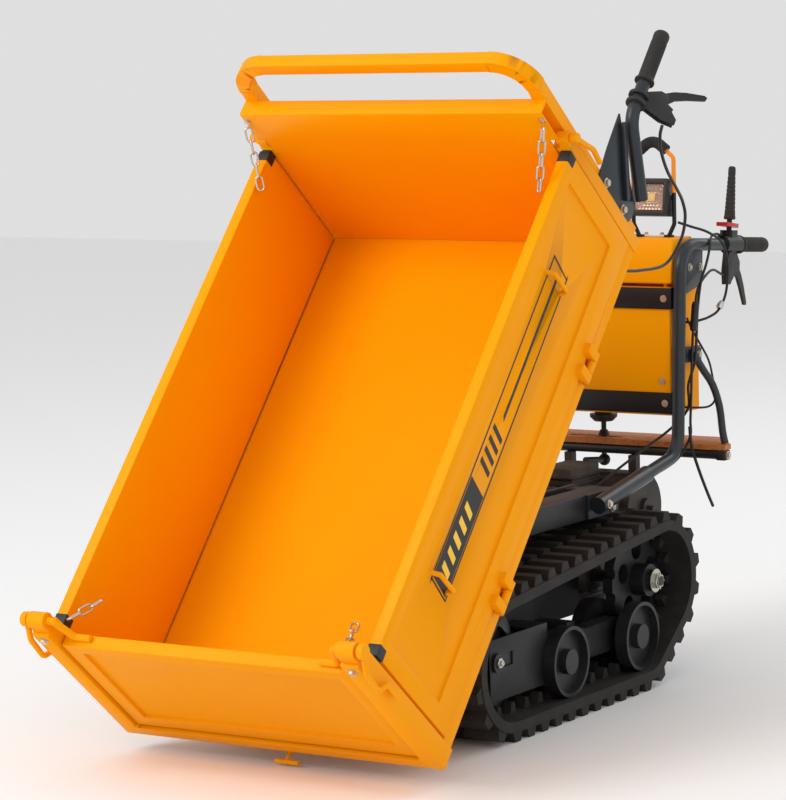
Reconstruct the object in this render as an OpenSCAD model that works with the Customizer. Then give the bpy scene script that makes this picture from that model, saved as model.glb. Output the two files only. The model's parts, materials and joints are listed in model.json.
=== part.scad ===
// Tracked electric mini dumper with a tipping skip.
// Millimetres, +Z up, X across the machine (+X is its left side), the skip tips towards -Y.
// The skip is stored fully tipped, so the tipping hinge is at the end of its travel.

/* [Undercarriage] */
// Distance between the centres of the two rubber belts
belt_gauge = 430; // [390:5:480]
// Width of one rubber belt
belt_w = 180; // [150:5:210]
// Thickness of the belt body, without lugs
belt_t = 22; // [16:1:26]
// Height of the tread lugs
lug_h = 20; // [12:1:26]
// Number of tread lugs in a row
lug_count = 38; // [28:1:44]
// Radius of the front idler wheel's running surface
idler_r = 118; // [95:1:130]
// Radius of the rear drive sprocket's running surface
sprocket_r = 113; // [92:1:128]
// Number of sprocket teeth
sprocket_teeth = 13; // [9:1:16]
// Radius of the bottom rollers
roller_r = 76; // [60:1:88]
// Distance from the front roller back to the rear roller
roller_pitch = 317; // [280:1:340]
// Distance from the front roller forward to the idler
idler_reach = 262; // [240:1:300]
// Distance from the front roller back to the sprocket
sprocket_reach = 400; // [380:1:440]
// Height of the sprocket axle above the ground
sprocket_z = 228; // [200:1:260]

/* [Chassis] */
// Outer width of the frame between the belts
web_gauge = 224; // [200:1:236]
// Top of the frame rails above the ground
rail_z = 443; // [430:1:460]
// Width of one frame rail
rail_w = 64; // [50:1:74]
// Depth of one frame rail
rail_d = 55; // [40:1:60]
// Sheet thickness of the frame's side webs
web_t = 12; // [8:1:14]
// Tipping hinge pin radius
hinge_r = 12.5; // [8:0.5:16]

/* [Skip] */
// Forward tilt of the skip in its stored, fully tipped position
tip_angle = 49.4; // [42:0.1:52]
// Length of the skip's floor frame
skip_l = 1272; // [1150:1:1400]
// Width of the skip's floor frame
skip_w = 754; // [700:1:860]
// Height of the side boards' top edge above the floor frame's underside
side_h = 350; // [290:1:420]
// Height of the floor above the frame's underside
floor_h = 36; // [30:1:50]
// Height of the headboard above the frame's underside
head_h = 476; // [440:1:560]
// Height of the guard bar above the frame's underside
bar_h = 592; // [570:1:700]
// Thickness of a side board's edge frame
board_t = 26; // [20:1:30]
// Sheet thickness of floor, headboard and boards
sheet_t = 3; // [2:0.5:4]

/* [Handles] */
// Distance between the two handlebar tubes
handle_gauge = 480; // [460:1:540]
// Radius of the handlebar tube
tube_r = 14.5; // [12:0.5:16]
// Radius of the rubber grips
grip_r = 17.5; // [17:0.5:20]
// Length of the rubber grips
grip_l = 128; // [100:1:150]

/* [Power unit] */
// Depth of the battery box, front to back
box_d = 140; // [120:1:170]
// Height of the battery box
box_h = 289; // [240:1:300]
// Height of the battery box's underside above the ground
box_z = 571; // [570:1:580]
// Height of the control hood
hood_h = 100; // [80:1:120]
// Radius of the drive motor
motor_r = 76; // [60:1:80]
// Half width of the rear board along its front edge
board_w = 320; // [300:1:360]

/* [Hidden] */

$fn = 48;
fit = 0.05;            // radial clearance of a shaft in its bore
gap = 0.3;             // clearance between curved faces of different bodies
origin_x = 35;         // the object's middle is this far to the left of its centreline,
origin_y = 19;         // and this far behind the front roller

// Undercarriage
belt_x = belt_gauge / 2;
ground_h = lug_h + belt_t;
roller_z = ground_h + roller_r;
idler_z = ground_h + idler_r;
path = [[-idler_reach, idler_z, idler_r], [roller_pitch, roller_z, roller_r],
        [sprocket_reach, sprocket_z, sprocket_r]];
tooth_h = 22;          // height of the belt's guide teeth
tooth_in = 16;         // guide teeth start this far from the belt's middle
tooth_out = 36;        // and end here
disc_in = tooth_out + 5;     // roller discs run outside the guide teeth
disc_out = disc_in + 30;
axle_r = 12;
beam_z0 = 78;          // underside and top of the tensioner housings
beam_z1 = 209;
beam_y0 = -285;        // front and rear ends of the tensioner housings
beam_y1 = -50;
cross_z = 130;         // height of the frame's cross tubes
cross_h = 40;

// Chassis
web_x = web_gauge / 2;
rail_x1 = belt_x - 1;
rail_x0 = rail_x1 - rail_w;
rail_y0 = -230;
rail_y1 = 330;
hinge_y = -250;
hinge_z = 400;
hinge_v = 554;         // the tipping hinge in the skip's own directions
hinge_w = -84;
lug_r = 25;            // rounding of the hinge lugs
lug_t = 12;
gear_y0 = 342;
gear_y1 = 520;

// Skip
side_x = skip_w / 2 + 6;        // outer face of the side boards
side_in = side_x - board_t;     // inner face of the side boards
post_w = 40;
post_d = 46;
post_h = 392;
gate_x = side_x - post_w - 4;   // half width of the tailgate
gate_v0 = 6;                    // front face of the tailgate
gate_d = 28;
gate_pivot = [24, 412];
pin_v = 18;            // the tailgate pin rises through the floor frame here
gate_rod_r = 8;
side_pivot_x = side_x + 7;
side_pivot_w = 22;
side_v0 = post_d + 6;
side_v1 = skip_l - 36;
bar_t = 30;                     // side of the guard bar's square tube
bar_bend = 75;
tip_x = side_x - 13 + tube_r;   // centre of the tipping handle's tube
latch_w = 371;

// Handles, battery box, hood and rear board
handle_x = handle_gauge / 2;
handle_pts = [[330, 442], [580, 487], [604, 957], [1019, 927]];
grip_start = 1019 - grip_l;
perch_y = 845;
// Height of the handlebar tube's centre over its straight rear stretch
function bar_z(y) = handle_pts[2][1]
    + (y - handle_pts[2][0]) * (handle_pts[3][1] - handle_pts[2][1]) / (handle_pts[3][0] - handle_pts[2][0]);
box_x = handle_x - tube_r - 4.5;
box_y0 = 586;
box_top = box_z + box_h;
hood_z = box_top + 9;
hood_top = hood_z + hood_h;
shell_t = 2;
band_t = 4;
board_y0 = 655;
board_y1 = 785;
board_rear = board_w - 78;
board_z = 488;
board_t2 = 12;
board_tube_r = 11;
rod_x = -16;
rod_y = 700;
gear_pivot_z = 445;
motor_y = 645;
motor_z = 345;

// ---------- placing ----------
module machine() translate([-origin_x, -origin_y, 0]) children();

// Mirrors a placed left part to the machine's right side
module mirrored() translate([-2 * origin_x, 0, 0]) mirror([1, 0, 0]) children();

module in_skip()
    machine()
        translate([0, hinge_y, hinge_z])
            rotate([tip_angle, 0, 0])
                translate([0, -hinge_v, -hinge_w])
                    children();

module both_sides() {
    children();
    mirror([1, 0, 0]) children();
}

// Turns a drawing in local X-Y into the machine's Y-Z plane, extruded along X
module across() rotate([90, 0, 90]) children();

module block(a, b) translate(a) cube(b - a);

module xrod(r, x0, x1, y, z) translate([x0, y, z]) rotate([0, 90, 0]) cylinder(r = r, h = x1 - x0);

module rod(a, b, r) {
    d = b - a;
    translate(a)
        rotate([0, acos(d[2] / norm(d)), atan2(d[1], d[0])])
            cylinder(r = r, h = norm(d));
}

// A bent rod with ball-shaped bends through points in space
module bent_rod(pts, r) {
    for (i = [1 : len(pts) - 1]) rod(pts[i - 1], pts[i], r);
    for (i = [1 : len(pts) - 2]) translate(pts[i]) sphere(r);
}

// ---------- planar bent tubes ----------
function unit(v) = v / norm(v);
function turn(a, b, c) = let (p = unit(b - a), q = unit(c - b)) atan2(p[0] * q[1] - p[1] * q[0], p * q);
function setback(a, b, c, r) = r * tan(abs(turn(a, b, c)) / 2);
function heading(a, b) = atan2(b[1] - a[1], b[0] - a[0]);

// Sweeps a 2D section along a path in the local X-Y plane, with bends of radius r
module bend_path(pts, r) {
    n = len(pts);
    cut = [for (i = [0 : n - 1]) (i == 0 || i == n - 1) ? 0 : setback(pts[i - 1], pts[i], pts[i + 1], r)];
    for (i = [1 : n - 1]) {
        d = unit(pts[i] - pts[i - 1]);
        a = pts[i - 1] + d * cut[i - 1];
        b = pts[i] - d * cut[i];
        translate(a)
            rotate(heading(a, b))
                rotate([90, 0, 90])
                    linear_extrude(norm(b - a)) children();
    }
    for (i = [1 : n - 2]) {
        t = turn(pts[i - 1], pts[i], pts[i + 1]);
        d = unit(pts[i] - pts[i - 1]);
        side = t > 0 ? 1 : -1;
        a = pts[i] - d * cut[i];
        centre = a + side * r * [-d[1], d[0]];
        start = heading(centre, a);
        translate(centre)
            rotate(t > 0 ? start : start + t)
                rotate_extrude(angle = abs(t)) translate([r, 0]) children();
    }
}

// Points of a path whose corners are rounded by short straight steps
function corner(a, b, c, r) =
    let (t = turn(a, b, c), cut = r * tan(abs(t) / 2), d = unit(b - a), p = b - d * cut,
         m = p + (t > 0 ? 1 : -1) * r * [-d[1], d[0]], n = max(1, ceil(abs(t) / 24)),
         q = r / cos(t / n / 2))
    [for (k = [0 : n - 1]) let (f = heading(m, p) + t * (k + 0.5) / n) m + q * [cos(f), sin(f)]];
function rounded(pts, r) = concat([pts[0]],
    [for (i = [1 : len(pts) - 2]) each corner(pts[i - 1], pts[i], pts[i + 1], r)],
    [pts[len(pts) - 1]]);

// Round tube along a path in the local X-Y plane, as one swept skin
module swept_tube(pts, bend, r, sides = 16) {
    q = rounded(pts, bend);
    n = len(q);
    ring = [for (i = [0 : n - 1])
        let (a = unit(q[max(i, 1)] - q[max(i, 1) - 1]), b = unit(q[min(i + 1, n - 1)] - q[min(i, n - 2)]),
             m = unit([-a[1] - b[1], a[0] + b[0]]), wide = r / (m * [-a[1], a[0]]))
        for (k = [0 : sides - 1])
            let (e = q[i] + wide * cos(360 * k / sides) * m) [e[0], e[1], r * sin(360 * k / sides)]];
    walls = [for (i = [0 : n - 2], k = [0 : sides - 1])
        let (a = i * sides + k, b = i * sides + (k + 1) % sides) [a, a + sides, b + sides, b]];
    caps = [[for (k = [0 : sides - 1]) k], [for (k = [0 : sides - 1]) n * sides - 1 - k]];
    polyhedron(ring, concat(walls, caps));
}

// ---------- cables ----------
function curve(p, steps) = concat([for (i = [0 : len(p) - 2], k = [0 : steps - 1])
    let (t = k / steps, a = p[max(i - 1, 0)], b = p[i], c = p[i + 1], d = p[min(i + 2, len(p) - 1)])
    b + 0.5 * t * ((c - a) + t * ((2 * a - 5 * b + 4 * c - d) + t * (3 * (b - c) + d - a)))],
    [p[len(p) - 1]]);

module cable(pts, r, steps = 4, sides = 8) {
    q = curve(pts, steps);
    n = len(q);
    ring = [for (i = [0 : n - 1])
        let (t = unit(q[min(i + 1, n - 1)] - q[max(i - 1, 0)]),
             u = unit(cross(t, [1, 0.11, 0.07])),
             v = cross(t, u))
        for (k = [0 : sides - 1]) q[i] + r * (cos(360 * k / sides) * u + sin(360 * k / sides) * v)];
    walls = [for (i = [0 : n - 2], k = [0 : sides - 1])
        let (a = i * sides + k, b = i * sides + (k + 1) % sides)
        [a, a + sides, b + sides, b]];
    caps = [[for (k = [0 : sides - 1]) k], [for (k = [0 : sides - 1]) n * sides - 1 - k]];
    polyhedron(ring, concat(walls, caps));
}

// ---------- belt path ----------
// Angle of the outward normal of the straight run from wheel a to wheel b
function run_normal(a, b) =
    atan2(b[1] - a[1], b[0] - a[0]) - acos((a[2] - b[2]) / norm([b[0] - a[0], b[1] - a[1]]));
function on_wheel(w, e, ang) = [w[0], w[1]] + (w[2] + e) * [cos(ang), sin(ang)];
function wrap360(a) = a - 360 * floor(a / 360);
runs = [for (i = [0 : 2]) run_normal(path[i], path[(i + 1) % 3])];
arcs = [for (i = [0 : 2]) wrap360(runs[i] - runs[(i + 2) % 3])];
pitch_e = belt_t / 2;
// Alternating lengths: arc on wheel 0, run 0 to 1, arc on wheel 1, and so on
stretch = [for (i = [0 : 2]) each [arcs[i] * PI / 180 * (path[i][2] + pitch_e),
    norm(on_wheel(path[i], pitch_e, runs[i]) - on_wheel(path[(i + 1) % 3], pitch_e, runs[i]))]];
belt_l = stretch[0] + stretch[1] + stretch[2] + stretch[3] + stretch[4] + stretch[5];
lug_pitch = belt_l / lug_count;

// Place on the belt at length s: [point, angle of the outward normal]
function belt_at(s, k = 0) = s > stretch[k] && k < 5 ? belt_at(s - stretch[k], k + 1) :
    let (i = floor(k / 2), n0 = runs[(i + 2) % 3], n1 = runs[i])
    k % 2 == 0 ? let (a = n0 + arcs[i] * s / stretch[k]) [on_wheel(path[i], 0, a), a] :
    [on_wheel(path[i], 0, n1) + s * [-sin(n1), cos(n1)], n1];

// The belt's line at distance e from the wheels, each arc in short chords
arc_steps = 40;
module belt_loop(e)
    polygon([for (i = [0 : 2], k = [0 : arc_steps])
        on_wheel(path[i], e, runs[(i + 2) % 3] + arcs[i] * k / arc_steps)]);

module belt_teeth(x0, x1, phase, e0, e1, base, tip)
    translate([x0, 0, 0])
        across()
            linear_extrude(x1 - x0)
                for (k = [0 : lug_count - 1])
                    let (p = belt_at((k + phase) * lug_pitch))
                    translate(p[0])
                        rotate(p[1])
                            polygon([[e0, -base / 2], [e1, -tip / 2], [e1, tip / 2], [e0, base / 2]]);

module belt() {
    translate([-belt_w / 2, 0, 0])
        across()
            linear_extrude(belt_w)
                difference() {
                    belt_loop(belt_t);
                    belt_loop(0);
                }
    lug_top = belt_t + lug_h;
    belt_teeth(4, belt_w / 2 - 2, 0, belt_t - 3, lug_top, 38, 22);
    belt_teeth(-belt_w / 2 + 2, -4, 0.5, belt_t - 3, lug_top, 38, 22);
    for (s = [-1, 1])
        belt_teeth(min(s * tooth_in, s * tooth_out), max(s * tooth_in, s * tooth_out), 0.25, 2, -tooth_h, 26, 12);
}

// ---------- wheels, drawn at x = 0 with +X outwards ----------
module sprocket() {
    difference() {
        union() {
            xrod(sprocket_r - gap, -12, 12, 0, 0);
            xrod(36, -44, 46, 0, 0);
            xrod(15, 60 - belt_x, -40, 0, 0);
            xrod(24, 44, 60, 0, 0);
            xrod(11, 58, 74, 0, 0);
        }
        for (k = [0 : sprocket_teeth - 1])
            rotate([k * 360 / sprocket_teeth, 0, 0]) xrod(11.5, -20, 20, sprocket_r + 1, 0);
        for (k = [0 : 4])
            rotate([k * 72 + 18, 0, 0]) xrod(22, -20, 20, 66, 0);
    }
}

module idler() {
    difference() {
        union() {
            xrod(idler_r - gap, -13, 13, 0, 0);
            xrod(idler_r - tooth_h - 6, -30, 30, 0, 0);
            xrod(26, -33, 33, 0, 0);
        }
        xrod(axle_r + fit, -40, 40, 0, 0);
        for (s = [0, 180]) rotate([0, 0, s]) difference() {
            xrod(78, 16, 31, 0, 0);
            xrod(34, 15, 32, 0, 0);
        }
    }
}

module roller() {
    for (s = [0, 180])
        rotate([0, 0, s])
            difference() {
                union() {
                    xrod(roller_r - gap, disc_in, disc_out, 0, 0);
                    xrod(26, disc_in - 14, disc_out, 0, 0);
                }
                difference() {
                    xrod(roller_r - 8, disc_out - 18, disc_out + 1, 0, 0);
                    xrod(27, disc_out - 19, disc_out + 2, 0, 0);
                }
            }
    xrod(axle_r, -disc_in, disc_in, 0, 0);
}

// Everything of one side is drawn for the left and mirrored for the right
module left_wheel(y, z) machine() translate([belt_x, y, z]) children();
module right_wheel(y, z) mirrored() left_wheel(y, z) children();

module track_beam() {
    slot_z = idler_z;
    difference() {
        union() {
            for (s = [-1, 1])
                block([min(s * 36, s * 40), beam_y0, beam_z0], [max(s * 36, s * 40), beam_y1, beam_z1]);
            block([-40, beam_y1 - 8, beam_z0], [40, beam_y1, beam_z1]);
            block([-40, -120, beam_z1 - 4], [40, beam_y1, beam_z1]);
            block([-20, beam_y1 - 2, 92], [20, roller_pitch + 44, 160]);
            block([-26, beam_y1 - 2, 160], [26, 130, 166]);
        }
        for (y = [0, roller_pitch]) xrod(axle_r + fit, -60, 60, y, roller_z);
        block([-50, -idler_reach - 14, slot_z - 14], [50, -idler_reach + 70, slot_z + 14]);
        // room for the sprocket
        xrod(sprocket_r + 5, -15, 15, sprocket_reach, sprocket_z);
    }
}

module tensioner() {
    difference() {
        union() {
            xrod(axle_r, -46, 46, 0, 0);
            for (s = [0, 180]) rotate([0, 0, s]) xrod(20, 40.5, 48, 0, 0);
            block([-35.5, idler_r + 4, -12], [35.5, idler_r + 14, 12]);
            for (s = [-1, 1])
                block([min(s * 34, s * 35.5), -16, -13], [max(s * 34, s * 35.5), idler_r + 14, 13]);
            translate([0, idler_r + 13, 0]) rotate([-90, 0, 0]) cylinder(r = 8, h = 26);
        }
    }
}

module left_side() machine() translate([belt_x, 0, 0]) children();
module right_side() mirrored() left_side() children();

// ---------- undercarriage nodes ----------
module chassis_frame() machine() color("#1b1c1e") {
    both_sides() {
        // side web with its hinge lug
        block([web_x - web_t, rail_y0, 152], [web_x, gear_y0, rail_z]);
        block([web_x - web_t, hinge_y, hinge_z - lug_r], [web_x, rail_y0 + 2, hinge_z + lug_r]);
        xrod(lug_r, web_x - web_t, web_x, hinge_y, hinge_z);
        // rail above the belt
        difference() {
            block([rail_x0, rail_y0, rail_z - rail_d], [rail_x1, rail_y1, rail_z]);
            block([rail_x0 + 5, rail_y0 + 5, rail_z - rail_d + 5], [rail_x1 - 5, rail_y1 + 1, rail_z - 5]);
        }
        for (y = [rail_y0, 90, rail_y1 - 40])
            block([web_x - 2, y, rail_z - rail_d], [rail_x0 + 3, y + 40, rail_z - 4]);
        // cross tubes to the track beams
        block([web_x - 2, -120, cross_z], [belt_x - 40, -84, cross_z + cross_h]);
        block([web_x - 2, 140, cross_z], [belt_x - 20, 176, cross_z + cross_h]);
    }
    for (y = [-120, 140])
        block([-web_x, y, cross_z + 20], [web_x, y + 36, cross_z + cross_h + 20]);
    block([-web_x + 2, -205, 378], [web_x - 2, gear_y0, 386]);
    block([-web_x + 2, rail_y0, 152], [web_x - 2, gear_y0, 158]);
    block([-web_x + 2, gear_y0 - 14, 152], [web_x - 2, gear_y0, 386]);
    // catch bar for the tipping latch
    both_sides() block([-36, 150, 384], [-26, 190, 424]);
    xrod(8, -30, 30, 170, 408);
    // hinge pin with its end collars
    xrod(hinge_r, -web_x - 12, web_x + 12, hinge_y, hinge_z);
    both_sides() xrod(hinge_r + 7, web_x - 1, web_x + 10, hinge_y, hinge_z);
}

module track_beam_left() color("#26282b") left_side() track_beam();
module track_beam_right() color("#26282b") right_side() track_beam();
module belt_left() color("#1d1c1b") left_side() belt();
module belt_right() color("#1d1c1b") right_side() belt();
module tensioner_left() color("silver") left_wheel(-idler_reach, idler_z) tensioner();
module tensioner_right() color("silver") right_wheel(-idler_reach, idler_z) tensioner();
module idler_left() color("#1f2022") left_wheel(-idler_reach, idler_z) idler();
module idler_right() color("#1f2022") right_wheel(-idler_reach, idler_z) idler();
module sprocket_left() color("#1f2022") left_wheel(sprocket_reach, sprocket_z) sprocket();
module sprocket_right() color("#1f2022") right_wheel(sprocket_reach, sprocket_z) sprocket();
module front_roller_left() color("#232425") left_wheel(0, roller_z) roller();
module front_roller_right() color("#232425") right_wheel(0, roller_z) roller();
module rear_roller_left() color("#232425") left_wheel(roller_pitch, roller_z) roller();
module rear_roller_right() color("#232425") right_wheel(roller_pitch, roller_z) roller();

// ---------- power unit ----------
module gearbox() machine() color("#4a423c") {
    case_x = web_x - web_t - 4;
    difference() {
        union() {
            block([-case_x, gear_y0, 152], [case_x, gear_y1, 372]);
            both_sides() xrod(40, case_x - 5, web_x + 4, sprocket_reach, sprocket_z);
            // tower that carries the gear lever, and the neck towards the motor
            block([-50, gear_y1 - 20, 300], [50, motor_y - motor_r + 10, 372]);
            block([rod_x - 42, gear_y1 - 40, 360], [rod_x + 42, 600, 372]);
            block([rod_x - 42, 470, 372], [rod_x + 42, 600, 455]);
            for (z = [385, 400, 415, 430]) block([rod_x - 48, 464, z], [rod_x + 48, 606, z + 5]);
            for (z = [180, 330]) block([-case_x - 3, gear_y0 + 4, z], [case_x + 3, gear_y1 - 6, z + 12]);
        }
        both_sides() xrod(15 + fit, 50, web_x + 20, sprocket_reach, sprocket_z);
        xrod(motor_r + 0.2, -71, 105, motor_y, motor_z);
    }
}

module drive_motor() machine() color("#3a332f") {
    xrod(motor_r, -70, 118, motor_y, motor_z);
    xrod(motor_r + 5, 106, 118, motor_y, motor_z);
    xrod(24, 117, 128, motor_y, motor_z);
    xrod(8, 127, 142, motor_y, motor_z);
    // saddle and posts that carry the rear board
    block([-100, motor_y - 16, motor_z + motor_r - 12], [100, motor_y + 34, motor_z + motor_r + 6]);
    for (x = [-94, 74]) block([x, 650, motor_z + motor_r], [x + 20, 670, board_z - 2 * board_tube_r - 0.5]);
}

module motor_controller() machine() color("#202124") {
    block([-86, 228, 386.2], [86, 318, 436]);
    for (x = [-70 : 14 : 70]) block([x, 235, 434], [x + 5, 311, 440]);
}

module battery_box() machine() color("#f5900a") {
    difference() {
        block([-box_x, box_y0, box_z], [box_x, box_y0 + box_d, box_top]);
        block([-box_x + shell_t, box_y0 + shell_t, box_z + shell_t],
              [box_x - shell_t, box_y0 + box_d - shell_t, box_top - shell_t]);
        // cable outlet low in the left side
        xrod(9, box_x - 10, box_x + 10, box_y0 + 60, box_z + 14);
    }
}

module batteries() machine() color("#2b2d30")
    for (s = [-1, 1]) {
        block([s * 103 - 88, box_y0 + 12, box_z + shell_t], [s * 103 + 88, box_y0 + box_d - 12, box_z + 216]);
        for (t = [-60, 60]) translate([s * 103 + t, box_y0 + box_d / 2, box_z + 215]) cylinder(r = 8, h = 14);
    }

module box_bands() machine() color("#141516")
    for (z = [box_z + 4, box_top - 48]) {
        block([-box_x, box_y0 - band_t, z], [box_x, box_y0, z + 48]);
        both_sides() block([box_x, box_y0 - band_t, z], [handle_x - tube_r, box_y0 + 40, z + 48]);
    }

hood_y1 = box_y0 + box_d + 12;
module hood_side(e) polygon([[box_y0 + 7 + e, hood_z - (e > 0 ? 1 : 0)], [box_y0 + 20 + e, hood_top - e],
    [hood_y1 - 40 - e / 2, hood_top - e], [hood_y1 - e, hood_z + 30], [hood_y1 - e, hood_z - (e > 0 ? 1 : 0)]]);

module control_hood() machine() color("#f5900a") {
    difference() {
        translate([-box_x, 0, 0]) across() linear_extrude(2 * box_x) hood_side(0);
        translate([-box_x + shell_t, 0, 0]) across() linear_extrude(2 * (box_x - shell_t)) hood_side(shell_t);
        // key switch and stop button holes in the sloping rear panel's foot
        for (x = [-120, -60]) translate([x, hood_y1 - 20, hood_z + 15]) rotate([-90, 0, 0]) cylinder(r = 11, h = 40);
    }
    for (y = [box_y0 + 24, box_y0 + box_d - 14]) {
        block([-box_x + 1, y - 9, hood_z], [box_x - 1, y + 9, hood_z + 3]);
        for (x = [-box_x + 20, box_x - 20]) translate([x, y, box_top]) cylinder(r = 6, h = hood_z - box_top + 1);
    }
}

module on_hood(x) machine() translate([x, hood_y1, hood_z + 15]) rotate([-90, 0, 0]) children();

module key_switch() color("silver") on_hood(-120) {
    translate([0, 0, -14]) cylinder(r = 11 - fit, h = 14);
    translate([0, 0, 0]) cylinder(r = 13, h = 5);
    block([-2, -11, 4], [2, 11, 34]);
}

module stop_button() color("#c01818") on_hood(-60) {
    translate([0, 0, -16]) cylinder(r = 11 - fit, h = 28);
    translate([0, 0, 10]) cylinder(r = 18, h = 9);
}

module gear_lever() machine() color("#26282b") {
    translate([rod_x, rod_y, gear_pivot_z]) sphere(14);
    rod([rod_x, 610, gear_pivot_z + 10], [rod_x, rod_y, gear_pivot_z], 7);
    rod([rod_x, rod_y, gear_pivot_z], [rod_x, rod_y, 545], 6);
    translate([rod_x, rod_y, 503]) cylinder(r1 = 14, r2 = 9, h = 12);
    translate([rod_x, rod_y, 536]) cylinder(r1 = 22, r2 = 32, h = 10);
    translate([rod_x, rod_y, 545.9]) cylinder(r = 32, h = 7);
    translate([rod_x, rod_y, 552.8]) cylinder(r = 20, h = 13);
}

// ---------- rear board ----------
module board_outline(e) polygon([[-board_w + e, board_y0 + e], [board_w - e, board_y0 + e],
    [board_w - e, board_y0 + 30], [board_rear - e / 2, board_y1 - e],
    [-board_rear + e / 2, board_y1 - e], [-board_w + e, board_y0 + 30]]);

module rear_board() machine() color("#9a5a2a")
    difference() {
        translate([0, 0, board_z]) linear_extrude(board_t2) board_outline(0);
        // slot for the gear lever
        block([rod_x - 92, rod_y - 9, board_z - 1], [rod_x + 46, rod_y + 9, board_z + board_t2 + 1]);
    }

module board_frame() machine() color("#202832")
    translate([0, 0, board_z - board_tube_r]) {
        r = board_tube_r;
        rod([-board_w + 8, board_y0 + r - 2, 0], [board_w - 8, board_y0 + r - 2, 0], r);
        swept_tube([[board_w - 6, board_y0 + r - 1], [board_rear - r, board_y1 - r],
            [-board_rear + r, board_y1 - r], [-board_w + 6, board_y0 + r - 1]], 34, r);
        both_sides() block([board_w - 22, board_y0 - 4, -r - 2], [board_w + 2, board_y0 + 24, r - 0.5]);
    }

// ---------- handlebars ----------
module handle_bar() {
    translate([handle_x, 0, 0]) across() swept_tube(handle_pts, 62, tube_r, 20);
    // gusset in the upper bend and bracket for the brace
    translate([handle_x - 4, 0, 0])
        across()
            linear_extrude(8) {
                polygon([[603, 842], [616, 842], [690, 858], [704, 872], [708, 947], [650, 952], [620, 930], [606, 893]]);
                polygon([[596, 725], [688, 722], [688, 684], [594, 690]]);
            }
}

module handle_left() machine() color("#232b35") handle_bar();
module handle_right() mirrored() handle_left();

module handle_sockets() machine() color("#23272d")
    both_sides()
        difference() {
            union() {
                translate([handle_x, 0, 0]) across() bend_path([[206, 419.7], [430, 460]], 10) circle(tube_r + 4.5);
                block([belt_x - 1, 196, 390], [belt_x + 7, 330, rail_z]);
            }
            translate([handle_x, 0, 0]) across() bend_path([[329.5, 441.9], [470, 467.2]], 10) circle(tube_r + fit);
        }

module handle_grips() machine() color("#1a1917")
    both_sides()
        translate([handle_x, 0, 0])
            across()
                difference() {
                    bend_path([[grip_start, bar_z(grip_start)], [1025, bar_z(1025)]], 10) circle(grip_r);
                    bend_path([[grip_start - 4, bar_z(grip_start - 4)], [1019, bar_z(1019)]], 10) circle(tube_r + fit);
                }

brace_pts = [[252, 641, 706], [261, 668, 668], [274, 689, 632], [290, 690, 583], [306, 672, 530],
             [315, 666, 504]];
module handle_braces() machine() color("#26282b")
    both_sides() {
        translate([board_w - 320, 0, 0]) cable(brace_pts, 8.5, 3, 12);
        block([handle_x + 4, 638, 690], [handle_x + 12, 678, 718]);
    }

// ---------- hand levers ----------
// Drawn with the handlebar tube along +Y through the origin and the lever hanging towards -Z
lever_pivot = [30, -50];
lever_w = 7;
module lever_bracket() {
    difference() {
        union() {
            translate([-8, 0, 0])
                across()
                    linear_extrude(16)
                        polygon([[-12, -16], [26, -16], [44, -40], [44, -60], [22, -64], [-2, -92], [-16, -92], [-20, -60]]);
            rotate([90, 0, 0]) translate([0, 0, -12]) cylinder(r = 21, h = 24);
        }
        rotate([90, 0, 0]) translate([0, 0, -30]) cylinder(r = tube_r + fit, h = 60);
        // slot in which the lever swings
        translate([-lever_w / 2 - 0.5, 0, 0])
            across()
                linear_extrude(lever_w + 1)
                    polygon([[60, -22], [27, -22], [12, -44], [6, -74], [20, -110], [60, -100]]);
    }
    xrod(4, -8, 8, lever_pivot[0], lever_pivot[1]);
}

module lever_blade() {
    p = lever_pivot;
    difference() {
        union() {
            translate([-lever_w / 2, 0, 0])
                across()
                    linear_extrude(lever_w)
                        polygon([[p[0] - 9, p[1] + 4], [p[0] + 1, p[1] + 9], [p[0] + 11, p[1] + 5],
                            [p[0] + 30, p[1] - 18], [p[0] + 44, p[1] - 44], [p[0] + 60, p[1] - 84],
                            [p[0] + 58, p[1] - 91], [p[0] + 51, p[1] - 90], [p[0] + 30, p[1] - 52],
                            [p[0] + 14, p[1] - 28], [p[0] - 4, p[1] - 14], [p[0] - 10, p[1] - 30],
                            [p[0] - 17, p[1] - 28], [p[0] - 13, p[1] - 8]]);
        }
        xrod(4 + fit, -10, 10, p[0], p[1]);
    }
}

bar_tilt = heading(handle_pts[2], handle_pts[3]);
module at_perch(y) machine() translate([handle_x, y, bar_z(y)]) rotate([bar_tilt, 0, 0]) children();
drive_z = 24;          // height of the drive lever's pivot above the tube's centre

module lever_perch() {
    at_perch(perch_y) {
        difference() {
            lever_bracket();
            block([-9, -40, tube_r + 1], [9, 40, drive_z + 20]);
        }
        difference() {
            union() {
                rotate([90, 0, 0]) translate([0, 0, -38]) cylinder(r = 22, h = 76);
                for (s = [-1, 1]) block([min(s * 9, s * 16), -14, 8], [max(s * 9, s * 16), 14, drive_z + 9]);
            }
            rotate([90, 0, 0]) translate([0, 0, -60]) cylinder(r = tube_r + fit, h = 120);
            block([-30, -40, -40], [30, 40, -14]);
            block([-9, -40, tube_r + 1], [9, 40, drive_z + 20]);
        }
        xrod(4, -16, 16, 0, drive_z);
    }
}

module lever_perches() color("#1c1b1a") {
    lever_perch();
    mirrored() lever_perch();
}

module drive_lever() at_perch(perch_y)
    difference() {
        union() {
            xrod(7.6, -8, 8, 0, drive_z);
            translate([0, 0, drive_z + 4]) rotate([-4, 0, 0]) cylinder(r = 6, h = 36);
            translate([0, 0, drive_z + 34]) rotate([-4, 0, 0]) cylinder(r1 = 13, r2 = 8.5, h = 122);
        }
        xrod(4 + fit, -20, 20, 0, drive_z);
    }

module drive_lever_left() color("#1f2023") drive_lever();
module drive_lever_right() mirrored() drive_lever_left();

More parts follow.
